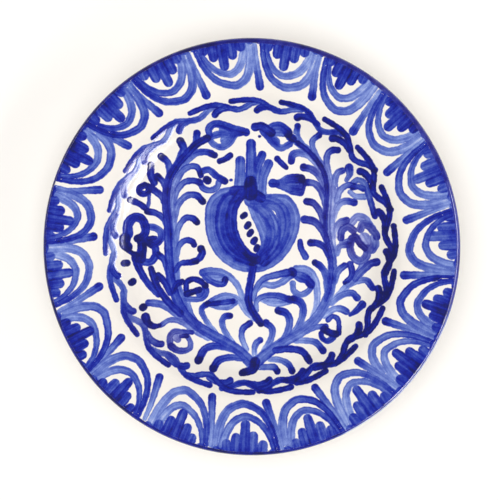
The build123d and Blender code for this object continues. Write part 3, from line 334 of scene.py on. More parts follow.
# Leaves of the left vine that turn towards the rim.
MOTIFS["left_outer_leaves"] = [
    ([(-6, -76.5), (-15, -75.6), (-22.5, -77.6), (-26, -82.6)], 3.5, 5.4, 0.6, 0.9),
    ([(-12, -70.5), (-24, -68), (-32, -70), (-36.2, -77.3)], 4, 5.4, 0.6, 0.9),
    ([(-30, -62), (-39, -57.5), (-48, -51.8), (-56, -50.4), (-62.3, -54)], 5, 3, 0.35, 0.6),
    ([(-72.3, -48), (-70.5, -51.8), (-67, -54.3), (-63, -54)], 5.4, 3, 0.95, 0.9),
    ([(-36, -58.5), (-45, -51.5), (-53, -45), (-60, -40.5), (-66, -39), (-70.5, -38.6)], 6, 4.6, 0.35, 0.6),
    ([(-74.2, -41.6), (-73.8, -41.4)], 5, 5, 0.95, 0.95),
    ([(-49, -46), (-56, -39.5), (-62, -32), (-66, -25), (-69, -15.5)], 5, 4.3, 0.8, 0.9),
    ([(-64, -33), (-69, -28), (-74, -21), (-78, -13), (-79.5, -8)], 4, 5, 0.8, 0.85),
    ([(-56, -32), (-59.5, -25), (-64, -20)], 4, 4.6, 0.8, 0.85),
    ([(-57.5, -19), (-60, -10), (-64, -5.6)], 3, 4.4, 0.6, 0.8),
    ([(-57.5, 12.5), (-61, 19.3), (-66, 22.6), (-71.5, 23.6)], 3.5, 4.4, 0.6, 0.9),
    ([(-71.5, 24.5), (-76, 28.5), (-82, 31.5)], 3.6, 4.4, 0.85, 0.9),
    ([(-72, 24), (-70.5, 29), (-70, 35)], 2.4, 2.2, 0.7, 0.6),
    ([(-59, 27), (-62, 34), (-68.5, 39.5)], 3.4, 5, 0.6, 0.85),
    ([(-66.6, 43.3), (-68.6, 48), (-68, 55.2)], 4.6, 4.4, 0.9, 0.85),
    ([(-58.5, 37), (-60.5, 43.5), (-64.3, 47.5)], 3, 4.6, 0.6, 0.9),
    ([(-56, 48), (-57, 56.5), (-61.3, 61)], 4, 4.6, 0.6, 0.9),
    ([(-53, 50), (-49, 60), (-46.4, 66), (-48.2, 71.3)], 4, 5.2, 0.4, 0.9),
    ([(-39.5, 65), (-38, 71), (-37, 76.6)], 3.6, 4.6, 0.6, 0.85),
]
# Leaves of the right vine that turn towards the fruit.
MOTIFS["right_inner_leaves"] = [
    ([(2, -77), (1.6, -70), (2.8, -66), (5.4, -63.8)], 3, 4.4, 0.27, 0.72),
    ([(8, -71), (13, -62.5), (13.6, -56), (9.5, -52)], 3.4, 4.8, 0.36, 0.77),
    ([(20, -66), (24.5, -57), (25.5, -50), (23, -45.2), (17.8, -43.5)], 4, 5.2, 0.45, 0.81),
    ([(26, -62), (32.5, -52), (34.8, -43.5), (33, -38), (28, -35.8)], 3.6, 5.4, 0.45, 0.81),
    ([(40, -51), (43.6, -41), (44.2, -30), (42.3, -21.5), (37.5, -16), (30, -15.3)], 3.5, 5.6, 0.27, 0.45),
    ([(29, -18), (32, -21), (37, -22.5), (40, -25.5)], 5, 5.6, 0.54, 0.85),
    ([(27.6, -25), (28.4, -30), (33, -32.6), (37.8, -30.5), (40.3, -27)], 3.8, 4, 0.45, 0.63),
    ([(51.5, -30), (50, -19), (46.5, -13.4), (42.7, -10.8)], 5, 4.4, 0.45, 0.85),
    ([(32.6, 3.6), (33.2, -1), (36.3, -6.8)], 3.6, 4.4, 0.81, 0.59),
    ([(53, -9), (49.5, -1.2), (44.5, 2.3), (39.8, 2.6)], 3.5, 4.8, 0.72, 0.81),
    ([(51, 4), (47, 12), (42, 17), (35.6, 18.4)], 4.2, 5.4, 0.72, 0.72),
    ([(49, 15), (45.5, 24.5), (41.5, 29.4), (37, 30.6)], 3.6, 4.8, 0.54, 0.81),
    ([(50, 28), (47, 37), (42.5, 42.5), (36, 43.6)], 4.4, 4.4, 0.54, 0.72),
    ([(50.5, 36), (46.5, 46), (41, 51.8), (35, 53.6)], 4, 5, 0.45, 0.77),
    ([(46, 54), (39, 61.3), (32, 63.4), (27.6, 62), (26.6, 57.8)], 5, 4.8, 0.32, 0.81),
    ([(35, 67), (30.5, 75), (31, 81.2)], 4, 4.2, 0.36, 0.72),
]
# Leaves of the right vine that turn towards the rim.
MOTIFS["right_outer_leaves"] = [
    ([(4, -82), (10.5, -81.8), (15, -81.8), (17.5, -84.3)], 3.4, 4.4, 0.46, 0.78),
    ([(12, -76.6), (19, -77), (24.8, -79.6), (27.6, -83.8)], 3.4, 4.4, 0.37, 0.83),
    ([(16, -70.5), (25, -69.5), (34, -71), (39.2, -77)], 4.6, 4.6, 0.74, 0.87),
    ([(30, -64), (37, -63.8), (43.5, -65), (48.3, -70)], 3.6, 4.6, 0.37, 0.87),
    ([(49, -47), (55, -42.6), (60, -42), (64, -43.8)], 3.6, 4.8, 0.28, 0.64),
    ([(66.5, -46), (70.5, -43.2), (74.7, -38.8)], 2.4, 5.2, 0.74, 0.78),
    ([(54, -38), (60.5, -33), (67.5, -31.3), (71.3, -34.4)], 3.8, 4.6, 0.46, 0.69),
    ([(56, -36), (62.5, -28.5), (69, -22), (75, -16), (80, -11.4), (84.3, -10)], 4, 5, 0.32, 0.78),
    ([(65, -26), (72, -23), (77.6, -22.6), (81.6, -27.3)], 3.6, 4.6, 0.37, 0.78),
    ([(66.5, -11.8), (67.8, -16.5), (66.6, -21), (62.8, -24.2)], 4.6, 3, 0.74, 0.78),
    ([(56, -24), (58.5, -16.5), (62.6, -12.8)], 3.6, 4.6, 0.37, 0.69),
    ([(55.5, 7), (58.5, 15.5), (64, 17.9)], 4, 4.6, 0.28, 0.64),
    ([(54.5, 18), (58, 27.5), (63, 30.8), (69, 30)], 3.6, 4.8, 0.28, 0.74),
    ([(56.3, 34), (56, 44), (57.6, 49.5), (61, 51.4)], 4.4, 4.2, 0.32, 0.64),
    ([(63.8, 45), (66, 49), (65.6, 53.4)], 2.6, 5.8, 0.55, 0.69),
    ([(53.4, 43), (50.6, 55), (51, 62), (54, 65), (58, 65.2)], 4, 4.4, 0.32, 0.87),
    ([(45.5, 58), (41.5, 66), (41, 71.5), (45.4, 75.2)], 3.4, 4, 0.37, 0.74),
]
# Loose dashes and dots beside the crown.
MOTIFS["loose_dabs"] = [
    ([(-22, 57.8), (-18.3, 59.2), (-14.8, 61.6)], 3.6, 4.2, 0.9, 0.8),
    ([(17, 59.4), (20, 56.4), (23.2, 53.4)], 3.9, 3.2, 0.85, 0.85),
    ([(5, 74.5), (5.4, 74.5)], 1.8, 1.8, 0.8, 0.8),
    ([(-14.5, 45), (-14.1, 45)], 1.8, 1.8, 0.7, 0.7),
]

# One row per unit: fan centre and tip radius, arch start and end angle, lowest points of both
# arches, and the divider (top angle, tip angle, tip radius).
RIM_UNITS = [
    (116.3, 120, 124.8, 108.6, (117, 116.3), (114.8, 108.5), (107.6, 106.2, 106)),
    (98, 119, 105.6, 90, (97, 116.3), (95.6, 108.6), (88.6, 86.6, 107.6)),
    (79.5, 119.5, 86.6, 70.6, (79.6, 116.3), (78.2, 109.2), (70, 67.8, 108.6)),
    (61.3, 120, 68, 52.8, (60, 116), (59, 107.8), (50.4, 48.6, 103.4)),
    (41.3, 119, 49.3, 33, (41, 115.6), (40.4, 107.2), (31.8, 29, 104)),
    (22.5, 117, 31, 13.8, (21.8, 115.2), (21, 106.2), (12.4, 10.2, 105.6)),
    (3.8, 116.5, 10.8, -6.2, (1.6, 116.6), (-0.4, 105.8), (-7.4, -10, 104.2)),
    (-17.5, 119.8, -8, -24.6, (-17.5, 117.2), (-18.8, 106.2), (-25.8, -28.4, 103)),
    (-35.6, 117, -27, -43.2, (-36.8, 113.2), (-37.6, 104.8), (-43, -46.4, 104.6)),
    (-53, 115.8, -44.8, -60.6, (-53, 113.2), (-54.4, 105.2), (-62, -65.2, 103.6)),
    (-71.3, 117.5, -63, -79.6, (-71.5, 114.8), (-72.4, 106.8), (-81, -84.2, 105.2)),
    (-91.5, 116, -82, -99.6, (-91, 113.6), (-92, 105.4), (-101.2, -104.4, 104.2)),
    (-112, 117.5, -102.6, -119.2, (-112.6, 115.6), (-113.4, 105.8), (-121.6, -125, 107.2)),
    (-132.1, 119.5, -123.6, -141, (-132.6, 117), (-134, 107.6), (-142.4, -145, 106.8)),
    (-152.5, 119, -142.8, -160.6, (-153, 118.4), (-155, 108.4), (-161.6, -165.4, 105.8)),
    (-172, 120.5, -163.4, -179.8, (-172, 118.6), (-173, 109.6), (-181, -183.8, 106.4)),
    (171.7, 120, 178.5, 163.6, (170.6, 118), (171, 109), (163.2, 159.2, 108.6)),
    (151.8, 119.7, 160.4, 143.2, (151.6, 118), (151, 109.8), (142.8, 140.4, 106.8)),
    (135, 119.5, 142.8, 127, (135.2, 117), (133.2, 109.2), (126.6, 124.3, 108.8)),
]

# The round heads of the rope's strokes: angle and radius, and the trough's radius for long ones.
ROPE_OUTER_HEADS = [(114.5, 98.6, 92.8), (97.8, 98.6, 92.8), (78.1, 99.1, 91.2), (60, 98.8, 90.7),
                    (43.2, 97.8, 90), (24.8, 96.2, 90.2), (8.6, 96.6, 91), (-9.2, 97.2, 90.3),
                    (-24.6, 97.3, 90.5), (-43.2, 96.7, 91), (-58.6, 97.2, 92), (-73.7, 97.9, 92),
                    (-89, 97.8, 91.3), (-106.5, 97.4, 91.8), (-124.9, 97.5, 91), (-142.3, 97.3, 91.5),
                    (-158.5, 97.9, 93), (-177.3, 98.2, 94), (-194.5, 98.5, 93.5), (-211.2, 98.7, 92.6),
                    (-228, 98.4, 93)]
ROPE_INNER_HEADS = [(105.4, 92.4), (87.6, 92.2), (70.4, 92.5), (53.3, 91.2), (34.9, 89.2),
                    (15.6, 88.9), (-1.8, 91), (-18, 90.1), (-35.7, 89.7), (-53.2, 91.1), (-67.4, 91),
                    (-82.2, 90.9), (-99, 92), (-118.5, 92), (-132.8, 90.4), (-151.3, 91.7),
                    (-167.6, 92.8), (-184.5, 92.2), (-202, 92.5), (-218.5, 92.3), (-238.2, 92.2)]


def polar(angle, radius):
    return (radius * cos(radians(angle)), radius * sin(radians(angle)))


FAN_BASE_RADIUS = 137.0
PETAL_START_RADIUS = 140.0  # past the lip, so that a petal's first end is never seen
FAN_STEP = 2.4  # degrees between two petals of a fan
FAN_SPLAY = 0.25  # how much further apart their tips are
FAN_PETAL_LENGTHS = [1.0, 0.63, 0.34, 0.1]
FAN_PETAL_LOADS = [0.64, 0.62, 0.6, 0.6]
FAN_VARIATION = 0.09  # of a whole fan's load
PETAL_VARIATION = (0.08, 0.25, 0.05)  # of a petal's length, of its angle in degrees and its load
PETAL_BASE_WIDTH = 8.2
PETAL_WIDTH = 6.0
PETAL_POOL = 0.22  # how much heavier the paint is at the lip
ARCH_TOP_RADIUS = 137.0
ARCH_VARIATION = 0.08  # of the load of both arches of a unit
INNER_ARCH_WIDTHS = (2.8, 6.0)
INNER_ARCH_LOADS = (0.70, 0.34)
INNER_ARCH_INSET = (1.0, 1.4)  # how many degrees further in it starts and ends
OUTER_ARCH_WIDTHS = (3.2, 6.6)
OUTER_ARCH_LOADS = (0.8, 0.34)
DIVIDER_RADII = (135, 124)  # where a divider starts and where it bends
DIVIDER_BEND = 0.25  # how far round to its tip it is by then
DIVIDER_WIDTHS = (2.6, 5.4)
DIVIDER_LOADS = (0.34, 0.7)
OUTER_ARCH_SHAPE = [
    (0, 0), (0.04, 0.2), (0.10, 0.42), (0.26, 0.68), (0.52, 0.88), (1, 1),
    (0.56, 0.95), (0.24, 0.84), (0.05, 0.64), (-0.03, 0.4), (-0.02, 0.2), (0, 0),
]
INNER_ARCH_SHAPE = [
    (0, 0), (0.06, 0.22), (0.18, 0.5), (0.5, 0.83), (1, 1),
    (0.62, 0.94), (0.34, 0.79), (0.14, 0.52), (0.04, 0.25), (0, 0),
]


def fan_strokes(centre, tip_radius):
    """The petals of a half flower that hangs from the lip, longest in the middle."""
    petals = []
    load_shift = rng.uniform(-FAN_VARIATION, FAN_VARIATION)
    longer, askew, fuller = PETAL_VARIATION
    for step in range(1 - len(FAN_PETAL_LENGTHS), len(FAN_PETAL_LENGTHS)):
        reach = (FAN_BASE_RADIUS - tip_radius) * FAN_PETAL_LENGTHS[abs(step)]
        reach *= 1 + rng.uniform(-longer, longer) * (step != 0)
        angle = centre + step * FAN_STEP + rng.uniform(-askew, askew) * (step != 0)
        tip = polar(angle + step * FAN_SPLAY, FAN_BASE_RADIUS - reach + PETAL_WIDTH / 2)
        load = FAN_PETAL_LOADS[abs(step)] + load_shift + rng.uniform(-fuller, fuller)
        points = [polar(angle, PETAL_START_RADIUS), tip]
        petals.append((points, PETAL_BASE_WIDTH, PETAL_WIDTH, load + PETAL_POOL, load))
    return petals


def arch_stroke(start, end, low, shape, widths, loads):
    """An arch that hangs from the lip at start and end and is lowest at low.

    Its shape lists how far each point is on the way to low, in angle and in radius.
    """
    low_angle, low_radius = low
    drop = ARCH_TOP_RADIUS - low_radius
    turn = shape.index((1, 1))
    points = [
        polar((start if k <= turn else end) * (1 - a) + low_angle * a, ARCH_TOP_RADIUS - drop * d)
        for k, (a, d) in enumerate(shape)
    ]
    return (points, *widths, *loads)


def rim_strokes():
    """The strokes of all rim units, by motif."""
    fans, inner, outer, dividers = [], [], [], []
    for fan, tip, start, end, inner_low, outer_low, (top, bottom, radius) in RIM_UNITS:
        fans += fan_strokes(fan, tip)
        load_shift = rng.uniform(-ARCH_VARIATION, ARCH_VARIATION)
        loads = [load + load_shift for load in INNER_ARCH_LOADS]
        ends = (start - INNER_ARCH_INSET[0], end + INNER_ARCH_INSET[1])
        inner.append(arch_stroke(*ends, inner_low, INNER_ARCH_SHAPE, INNER_ARCH_WIDTHS, loads))
        loads = [load + load_shift for load in OUTER_ARCH_LOADS]
        outer.append(arch_stroke(start, end, outer_low, OUTER_ARCH_SHAPE, OUTER_ARCH_WIDTHS, loads))
        bend = polar(top + (bottom - top) * DIVIDER_BEND, DIVIDER_RADII[1])
        points = [polar(top, DIVIDER_RADII[0]), bend, polar(bottom, radius)]
        dividers.append((points, *DIVIDER_WIDTHS, *DIVIDER_LOADS))
    return {
        "rim_fans": fans, "rim_dividers": dividers,
        "rim_inner_arches": inner, "rim_outer_arches": outer,
    }


# Outlines of the rope's strokes: degrees past the head, then the share of the way in to the trough
# for the long ones, and mm outwards for the short ones.
LONG_STROKE = [
    (0, 0), (-4, -0.02), (-8, -0.02), (-11.5, 0.14), (-14.8, 0.58), (-18.6, 1), (-22, 0.8),
    (-25, 0.35), (-28, 0.1),
]
SHORT_STROKE = [(0, -0.2), (-1.5, 1.4), (-4.8, 2.3), (-9, 1.2)]
LONG_STROKE_WIDTHS = (3.3, 3.7)
SHORT_STROKE_WIDTHS = (4.4, 3.2)
# Start and end load, and what each gains at the right and loses at the left: painted shade at the right,
# painted glare at the left.
LONG_STROKE_LOADS = ((0.88, 0.07), (0.62, 0.26))
SHORT_STROKE_LOADS = ((0.86, 0.08), (0.64, 0.25))
# how much wider the strokes grow at the right, along with the painted shade there
RIGHT_SIDE_WIDENING = 0.13


def rope_stroke(head, points, widths, loads):
    """A stroke of the rope, darker and wider at the right and paler at the left: painted shade at the
    right, painted glare at the left.
    """
    load_shift = cos(radians(head))
    wide = 1 + RIGHT_SIDE_WIDENING * max(load_shift, 0)
    return (points, *(width * wide for width in widths), *(load + gain * load_shift for load, gain in loads))


def rope_strokes():
    """The twisted rope: long waves from the outer side, short strokes from the inner side."""
    outer, inner = [], []
    for head, radius, trough in ROPE_OUTER_HEADS:
        points = [polar(head + a, radius - (radius - trough) * share) for a, share in LONG_STROKE]
        outer.append(rope_stroke(head, points, LONG_STROKE_WIDTHS, LONG_STROKE_LOADS))
    for head, radius in ROPE_INNER_HEADS:
        points = [polar(head + a, radius + out) for a, out in SHORT_STROKE]
        inner.append(rope_stroke(head, points, SHORT_STROKE_WIDTHS, SHORT_STROKE_LOADS))
    return {"rope_outer_strokes": outer, "rope_inner_strokes": inner}


MOTIFS.update(rope_strokes())
MOTIFS.update(rim_strokes())

# --- From strokes to fields over a grid ---
CELL = 0.5
HALO = 0.45  # how far a mesh reaches past the paint, under clear glaze
WETNESS = 0.28  # how far the paint spreads past the brush on each side
OVERLAP = 0.22  # how much darker a second pass makes the first
LINE_STEP = 0.35  # between the points of a stroke's middle line
WIDTH_PULL = 0.35  # how strongly wide parts of a stroke claim what lies near
BLOCK = 20000  # grid points handled at a time
LOAD_CURVE = 1.4  # over 1, the brush empties mostly towards the end
LOAD_LIMITS = (0.05, 0.97)
EDGE_WOBBLE = ((3.3, 0.06), (7.1, 0.1))  # wavelength along the stroke and size, mm
STREAKS = ((0.7, 0.055), (1.5, 0.045), (2.6, 0.03))  # waves across half a stroke, and their load
SIDE_POOL = 0.05  # what gathers along both sides of a stroke
END_POOL = 0.09  # what gathers at its end
END_POOL_LENGTH = 4.5
GRID = np.arange(-140.0, 140.0 + CELL, CELL)
GX, GY = np.meshgrid(GRID, GRID, indexing="ij")
FAR = 9.0  # stands for every distance out of reach


def smooth_line(points):
    """A smooth curve through points (Catmull-Rom), and the length up to each of its points."""
    p = np.array(points, float)
    if len(p) == 2:
        count = max(2, int(np.hypot(*(p[1] - p[0])) / LINE_STEP))
        share = np.linspace(0, 1, count)[:, None]
        line = p[0] * (1 - share) + p[1] * share
    else:
        ends = np.vstack([2 * p[0] - p[1], p, 2 * p[-1] - p[-2]])
        pieces = []
        for a, b, c, d in zip(ends, ends[1:], ends[2:], ends[3:]):
            count = max(3, int(np.hypot(*(c - b)) / LINE_STEP))
            t = np.linspace(0, 1, count, endpoint=False)[:, None]
            pieces.append(0.5 * (2 * b + (c - a) * t + (2 * a - 5 * b + 4 * c - d) * t**2
                                 + (3 * b - a - 3 * c + d) * t**3))
        line = np.vstack(pieces + [p[-1:]])
    length = np.r_[0, np.cumsum(np.hypot(*np.diff(line, axis=0).T))]
    return line, length


def smoothstep(value, low, high):
    """0 up to low, 1 from high on, and a smooth rise between."""
    t = np.clip((value - low) / (high - low), 0, 1)
    return t * t * (3 - 2 * t)


def lay_stroke(stroke):
    """The grid window a stroke touches, its distance field and load of cobalt, and its edge.

    The last field is 0 well inside the stroke and 1 outside it.
    """
    points, start_width, end_width, start_load, end_load = stroke
    line, length = smooth_line(points)
    total = max(length[-1], 1e-6)
    share = length / total
    half = (start_width + (end_width - start_width) * share) / 2
    half += WETNESS
    for wave, size in EDGE_WOBBLE:
        half += size * np.sin(2 * pi * length / wave + rng.uniform(0, 2 * pi))
    low = line.min(0) - half.max() - 2
    high = line.max(0) + half.max() + 2
    i0, j0 = np.maximum(np.searchsorted(GRID, low) - 1, 0)
    i1, j1 = np.minimum(np.searchsorted(GRID, high) + 1, len(GRID))
    window = (slice(i0, i1), slice(j0, j1))
    x, y = GX[window].ravel(), GY[window].ravel()
    nearest = np.empty(len(x), int)
    for k in range(0, len(x), BLOCK):
        dx = x[k:k + BLOCK, None] - line[None, :, 0]
        dy = y[k:k + BLOCK, None] - line[None, :, 1]
        nearest[k:k + BLOCK] = np.argmin(dx * dx + dy * dy - WIDTH_PULL * half[None] ** 2, axis=1)
    spot = line[nearest]
    along = np.gradient(line, axis=0)
    along /= np.hypot(*along.T)[:, None] + 1e-9
    tangent = along[nearest]
    dx, dy = x - spot[:, 0], y - spot[:, 1]
    distance = np.hypot(dx, dy) - half[nearest]
    side = (dx * -tangent[:, 1] + dy * tangent[:, 0]) / half[nearest]
    s = share[nearest]
    load = start_load + (end_load - start_load) * s**LOAD_CURVE
    streak = np.zeros_like(s)
    for frequency, size in STREAKS:
        phase = rng.uniform(0, 2 * pi) + rng.uniform(-2, 2) * s * total / 25
        streak += size * np.sin(2 * pi * frequency * side + phase)
    side = np.abs(side)
    pooled = SIDE_POOL * smoothstep(side, 0.45, 0.8) * (1 - smoothstep(side, 0.8, 1.0))
    pooled += END_POOL * smoothstep(s * total, total - END_POOL_LENGTH, total)
    load = np.clip(load + streak + pooled, *LOAD_LIMITS)
    load *= 1 - smoothstep(distance, HALO - 0.1, HALO + 0.5)  # none past the halo
    inner_edge = smoothstep(distance, -0.4, 0.25)
    shape = GX[window].shape
    return window, distance.reshape(shape), load.reshape(shape), inner_edge.reshape(shape)


def lay_motif(strokes):
    """Adds a motif's strokes to the shared fields, and returns its own distance field."""
    field = np.full(GX.shape, FAR)
    for stroke in strokes:
        window, distance, load, inner_edge = lay_stroke(stroke)
        field[window] = np.minimum(field[window], distance)
        over = load * (1 - inner_edge)
        CLEAR[window] *= 1 - over
        HEAVIEST[window] = np.maximum(HEAVIEST[window], over)
        NEAREST_LOAD[window] = np.where(distance < NEAREST[window], load, NEAREST_LOAD[window])
        NEAREST[window] = np.minimum(NEAREST[window], distance)
    return field


CLEAR = np.ones(GX.shape)  # share of white that still shows through, over all strokes
HEAVIEST = np.zeros(GX.shape)  # the heaviest single stroke
NEAREST = np.full(GX.shape, FAR)  # distance to the nearest stroke's edge, and its load
NEAREST_LOAD = np.zeros(GX.shape)


# --- From fields to meshes ---
# A grid cell has corners a to d, one bit each, and edges e to h between them, in order round it.
ROUND = "aebfcgdh"
CORNER_BITS = {"a": 1, "b": 2, "c": 4, "d": 8}
EDGE_ENDS = {"e": "ab", "f": "bc", "g": "cd", "h": "da"}


def cell_outline(number):
    """The outline of a cell's inside part, where number says which of its corners are inside."""
    inside = {mark for mark, bit in CORNER_BITS.items() if number & bit}
    return [
        mark for mark in ROUND
        if mark in inside or len(inside.intersection(EDGE_ENDS.get(mark, ""))) == 1
    ]


def outline_mesh(field, heights, underside, values):
    """A closed mesh of the region where field is below zero.

    Grid points inside get a vertex above and one below. Where the region's edge crosses a grid
    line, one vertex closes the two sheets. Returns the vertices, the faces, the values by vertex
    and which vertices lie on the region's edge.
    """
    inside = field < 0
    count = inside.sum()
    top = np.full(field.shape, -1)
    top[inside] = np.arange(count)
    picks = [np.c_[np.nonzero(inside)] * 1.0]
    edge_x = np.full(field.shape, -1)
    edge_y = np.full(field.shape, -1)
    made = count
    for edges, (di, dj) in ((edge_x, (1, 0)), (edge_y, (0, 1))):
        here = inside[: field.shape[0] - di, : field.shape[1] - dj]
        there = inside[di:, dj:]
        i, j = np.nonzero(here != there)
        a, b = field[i, j], field[i + di, j + dj]
        share = np.clip(a / (a - b), 0.1, 0.9)
        edges[i, j] = made + np.arange(len(i))
        made += len(i)
        picks.append(np.c_[i + di * share, j + dj * share])
    spots = np.vstack(picks)
    code = (inside[:-1, :-1] * 1 + inside[1:, :-1] * 2 + inside[1:, 1:] * 4 + inside[:-1, 1:] * 8)
    faces = []
    for number in range(1, 16):
        i, j = np.nonzero(code == number)
        if not len(i):
            continue
        corners = {
            "a": top[i, j], "b": top[i + 1, j], "c": top[i + 1, j + 1], "d": top[i, j + 1],
            "e": edge_x[i, j], "f": edge_y[i + 1, j], "g": edge_x[i, j + 1], "h": edge_y[i, j],
        }
        faces.append(np.stack([corners[mark] for mark in cell_outline(number)], axis=1))
    x = GRID[0] + spots[:, 0] * CELL
    y = GRID[0] + spots[:, 1] * CELL

    def sample(grid):
        """The grid's value at every vertex, between its four nearest points."""
        i, j = np.floor(spots).astype(int).T
        i, j = np.minimum(i, len(GRID) - 2), np.minimum(j, len(GRID) - 2)
        u, v = spots[:, 0] - i, spots[:, 1] - j
        return (grid[i, j] * (1 - u) * (1 - v) + grid[i + 1, j] * u * (1 - v)
                + grid[i, j + 1] * (1 - u) * v + grid[i + 1, j + 1] * u * v)

    base = glaze_height(x, y)
    top_points = np.c_[x, y, base + sample(heights)]
    under_points = np.c_[x, y, base - underside][:count]
    below = np.arange(made)
    below[:count] += made
    polygons = []
    for group in faces:
        polygons.append(group)
        polygons.append(below[group][:, ::-1])
    by_vertex = {name: np.r_[sample(grid), sample(grid)[:count]] for name, grid in values.items()}
    edge_ring = np.zeros(made + count, bool)
    edge_ring[count:made] = True
    return np.vstack([top_points, under_points]), polygons, by_vertex, edge_ring


def make_piece(name, points, polygons, values=None, sharp=None):
    """A Blender object from points in mm and groups of faces, shaded smooth.

    values are what the mesh carries, by name. sharp says which points lie on a sharp edge.
    """
    mesh = bpy.data.meshes.new(name)
    sizes = np.concatenate([np.full(len(g), g.shape[1]) for g in polygons])
    corners = np.concatenate([g.ravel() for g in polygons]).astype(np.int32)
    mesh.vertices.add(len(points))
    mesh.vertices.foreach_set("co", (points * MM).astype(np.float32).ravel())
    mesh.loops.add(len(corners))
    mesh.loops.foreach_set("vertex_index", corners)
    mesh.polygons.add(len(sizes))
    mesh.polygons.foreach_set("loop_start", np.r_[0, np.cumsum(sizes)[:-1]].astype(np.int32))
    mesh.update(calc_edges=True)
    mesh.validate()
    mesh.shade_smooth()
    if sharp is not None:
        ends = np.empty(len(mesh.edges) * 2, np.int32)
        mesh.edges.foreach_get("vertices", ends)
        ends = ends.reshape(-1, 2)
        mark = mesh.attributes.new("sharp_edge", "BOOLEAN", "EDGE")
        mark.data.foreach_set("value", sharp[ends].all(axis=1))
    for key, data in (values or {}).items():
        attribute = mesh.attributes.new(key, "FLOAT", "POINT")
        attribute.data.foreach_set("value", data.astype(np.float32))
    piece = bpy.data.objects.new(name, mesh)
    bpy.context.scene.collection.objects.link(piece)
    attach(piece, "root")
    return piece


def dress(piece, material, node_name):
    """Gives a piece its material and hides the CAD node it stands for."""
    piece.data.materials.append(material)
    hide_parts(node_name)


def ring_faces(rings, around, closed_loop):
    """Quads between rings of around points each; closed_loop joins the last ring to the first."""
    ring = np.arange(rings if closed_loop else rings - 1)[:, None]
    step = np.arange(around)[None]
    after = (ring + 1) % rings
    turn = (step + 1) % around
    quads = np.stack(
        [ring * around + step, ring * around + turn, after * around + turn, after * around + step],
        axis=-1,
    )
    return quads.reshape(-1, 4)


AROUND = 720  # points round every turned piece
AXIS = np.zeros((1, 1))  # x or y of a point on the axis


def revolve(profile, shape):
    """Points of a profile turned round the axis and then moved by shape."""
    angle = np.linspace(0, 2 * pi, AROUND, endpoint=False)
    r = profile[:, 0][:, None]
    x, y = r * np.cos(angle), r * np.sin(angle)
    z = np.broadcast_to(profile[:, 1][:, None], x.shape).copy()
    x, y, z = shape(x, y, z)
    return np.c_[x.ravel(), y.ravel(), z.ravel()]


def turned_piece(name, profile, shape):
    """A closed shell turned from a profile; ends on the axis become single points."""
    start_pole, end_pole = profile[0, 0] < 1e-6, profile[-1, 0] < 1e-6
    rings = profile[int(start_pole): len(profile) - int(end_pole)]
    points = revolve(rings, shape)
    polygons = [ring_faces(len(rings), AROUND, not start_pole)]
    poles = []
    turn = np.arange(AROUND)
    for is_pole, spot, ring, order in (
        (start_pole, profile[0], 0, 1), (end_pole, profile[-1], len(rings) - 1, -1)
    ):
        if is_pole:
            poles.append([value[0, 0] for value in shape(AXIS, AXIS, AXIS + spot[1])])
            tip = np.full(AROUND, len(points) + len(poles) - 1)
            fan = np.stack([tip, ring * AROUND + (turn + 1) % AROUND, ring * AROUND + turn], axis=1)
            polygons.append(fan[:, ::order])
    if poles:
        points = np.vstack([points, poles])
    return make_piece(name, points, polygons)


def on_face(x, y, z):
    """Adds the unevenness of the thrown face to points that lie on it."""
    return x, y, z + unevenness(x, y)


# --- Materials ---
def new_material(name):
    material = bpy.data.materials.new(name)
    material.use_nodes = True
    tree = material.node_tree
    shader = tree.nodes["Principled BSDF"]
    return material, tree, shader


def node(tree, kind, **settings):
    """A new node of this kind, with its settings."""
    made = tree.nodes.new(kind)
    for key, value in settings.items():
        setattr(made, key, value)
    return made


def noise(tree, scale, detail=3.0, roughness=0.5):
    """Noise over the object's own coordinates; scale is in waves per metre, about."""
    place = node(tree, "ShaderNodeTexCoord")
    texture = node(tree, "ShaderNodeTexNoise")
    texture.inputs["Scale"].default_value = scale
    texture.inputs["Detail"].default_value = detail
    texture.inputs["Roughness"].default_value = roughness
    tree.links.new(place.outputs["Object"], texture.inputs["Vector"])
    return texture.outputs["Fac"]


def remap(tree, source, low, high, to_low, to_high):
    """Carries the range low to high over to the range to_low to to_high."""
    ranged = node(tree, "ShaderNodeMapRange")
    ranged.inputs["From Min"].default_value = low
    ranged.inputs["From Max"].default_value = high
    ranged.inputs["To Min"].default_value = to_low
    ranged.inputs["To Max"].default_value = to_high
    tree.links.new(source, ranged.inputs["Value"])
    return ranged.outputs["Result"]


def math(tree, operation, first, second):
    """A sum or product of two values, either of which may be one fixed number."""
    made = node(tree, "ShaderNodeMath", operation=operation)
    for socket, value in zip(made.inputs, (first, second)):
        if isinstance(value, float):
            socket.default_value = value
        else:
            tree.links.new(value, socket)
    return made.outputs[0]


def carried(tree, name):
    """A value that the mesh carries."""
    return node(tree, "ShaderNodeAttribute", attribute_name=name).outputs["Fac"]


def blend(tree, share, first, second):
    """Goes from the first colour to the second, which may be one fixed colour."""
    made = node(tree, "ShaderNodeMix", data_type="RGBA")
    tree.links.new(share, made.inputs["Factor"])
    tree.links.new(first, made.inputs["A"])
    if isinstance(second, tuple):
        made.inputs["B"].default_value = (*second, 1)
    else:
        tree.links.new(second, made.inputs["B"])
    return made.outputs["Result"]


def ramp(tree, source, stops):
    """Colours by value, from stops of a position and a colour."""
    made = node(tree, "ShaderNodeValToRGB")
    elements = made.color_ramp.elements
    while len(elements) < len(stops):
        elements.new(0.5)
    for element, (position, colour) in zip(elements, stops):
        element.position = position
        element.color = (*colour, 1)
    tree.links.new(source, made.inputs["Fac"])
    return made.outputs["Color"]


def bump(tree, shader, height, distance, strength):
    made = node(tree, "ShaderNodeBump")
    made.inputs["Distance"].default_value = distance
    made.inputs["Strength"].default_value = strength
    tree.links.new(height, made.inputs["Height"])
    tree.links.new(made.outputs["Normal"], shader.inputs["Normal"])


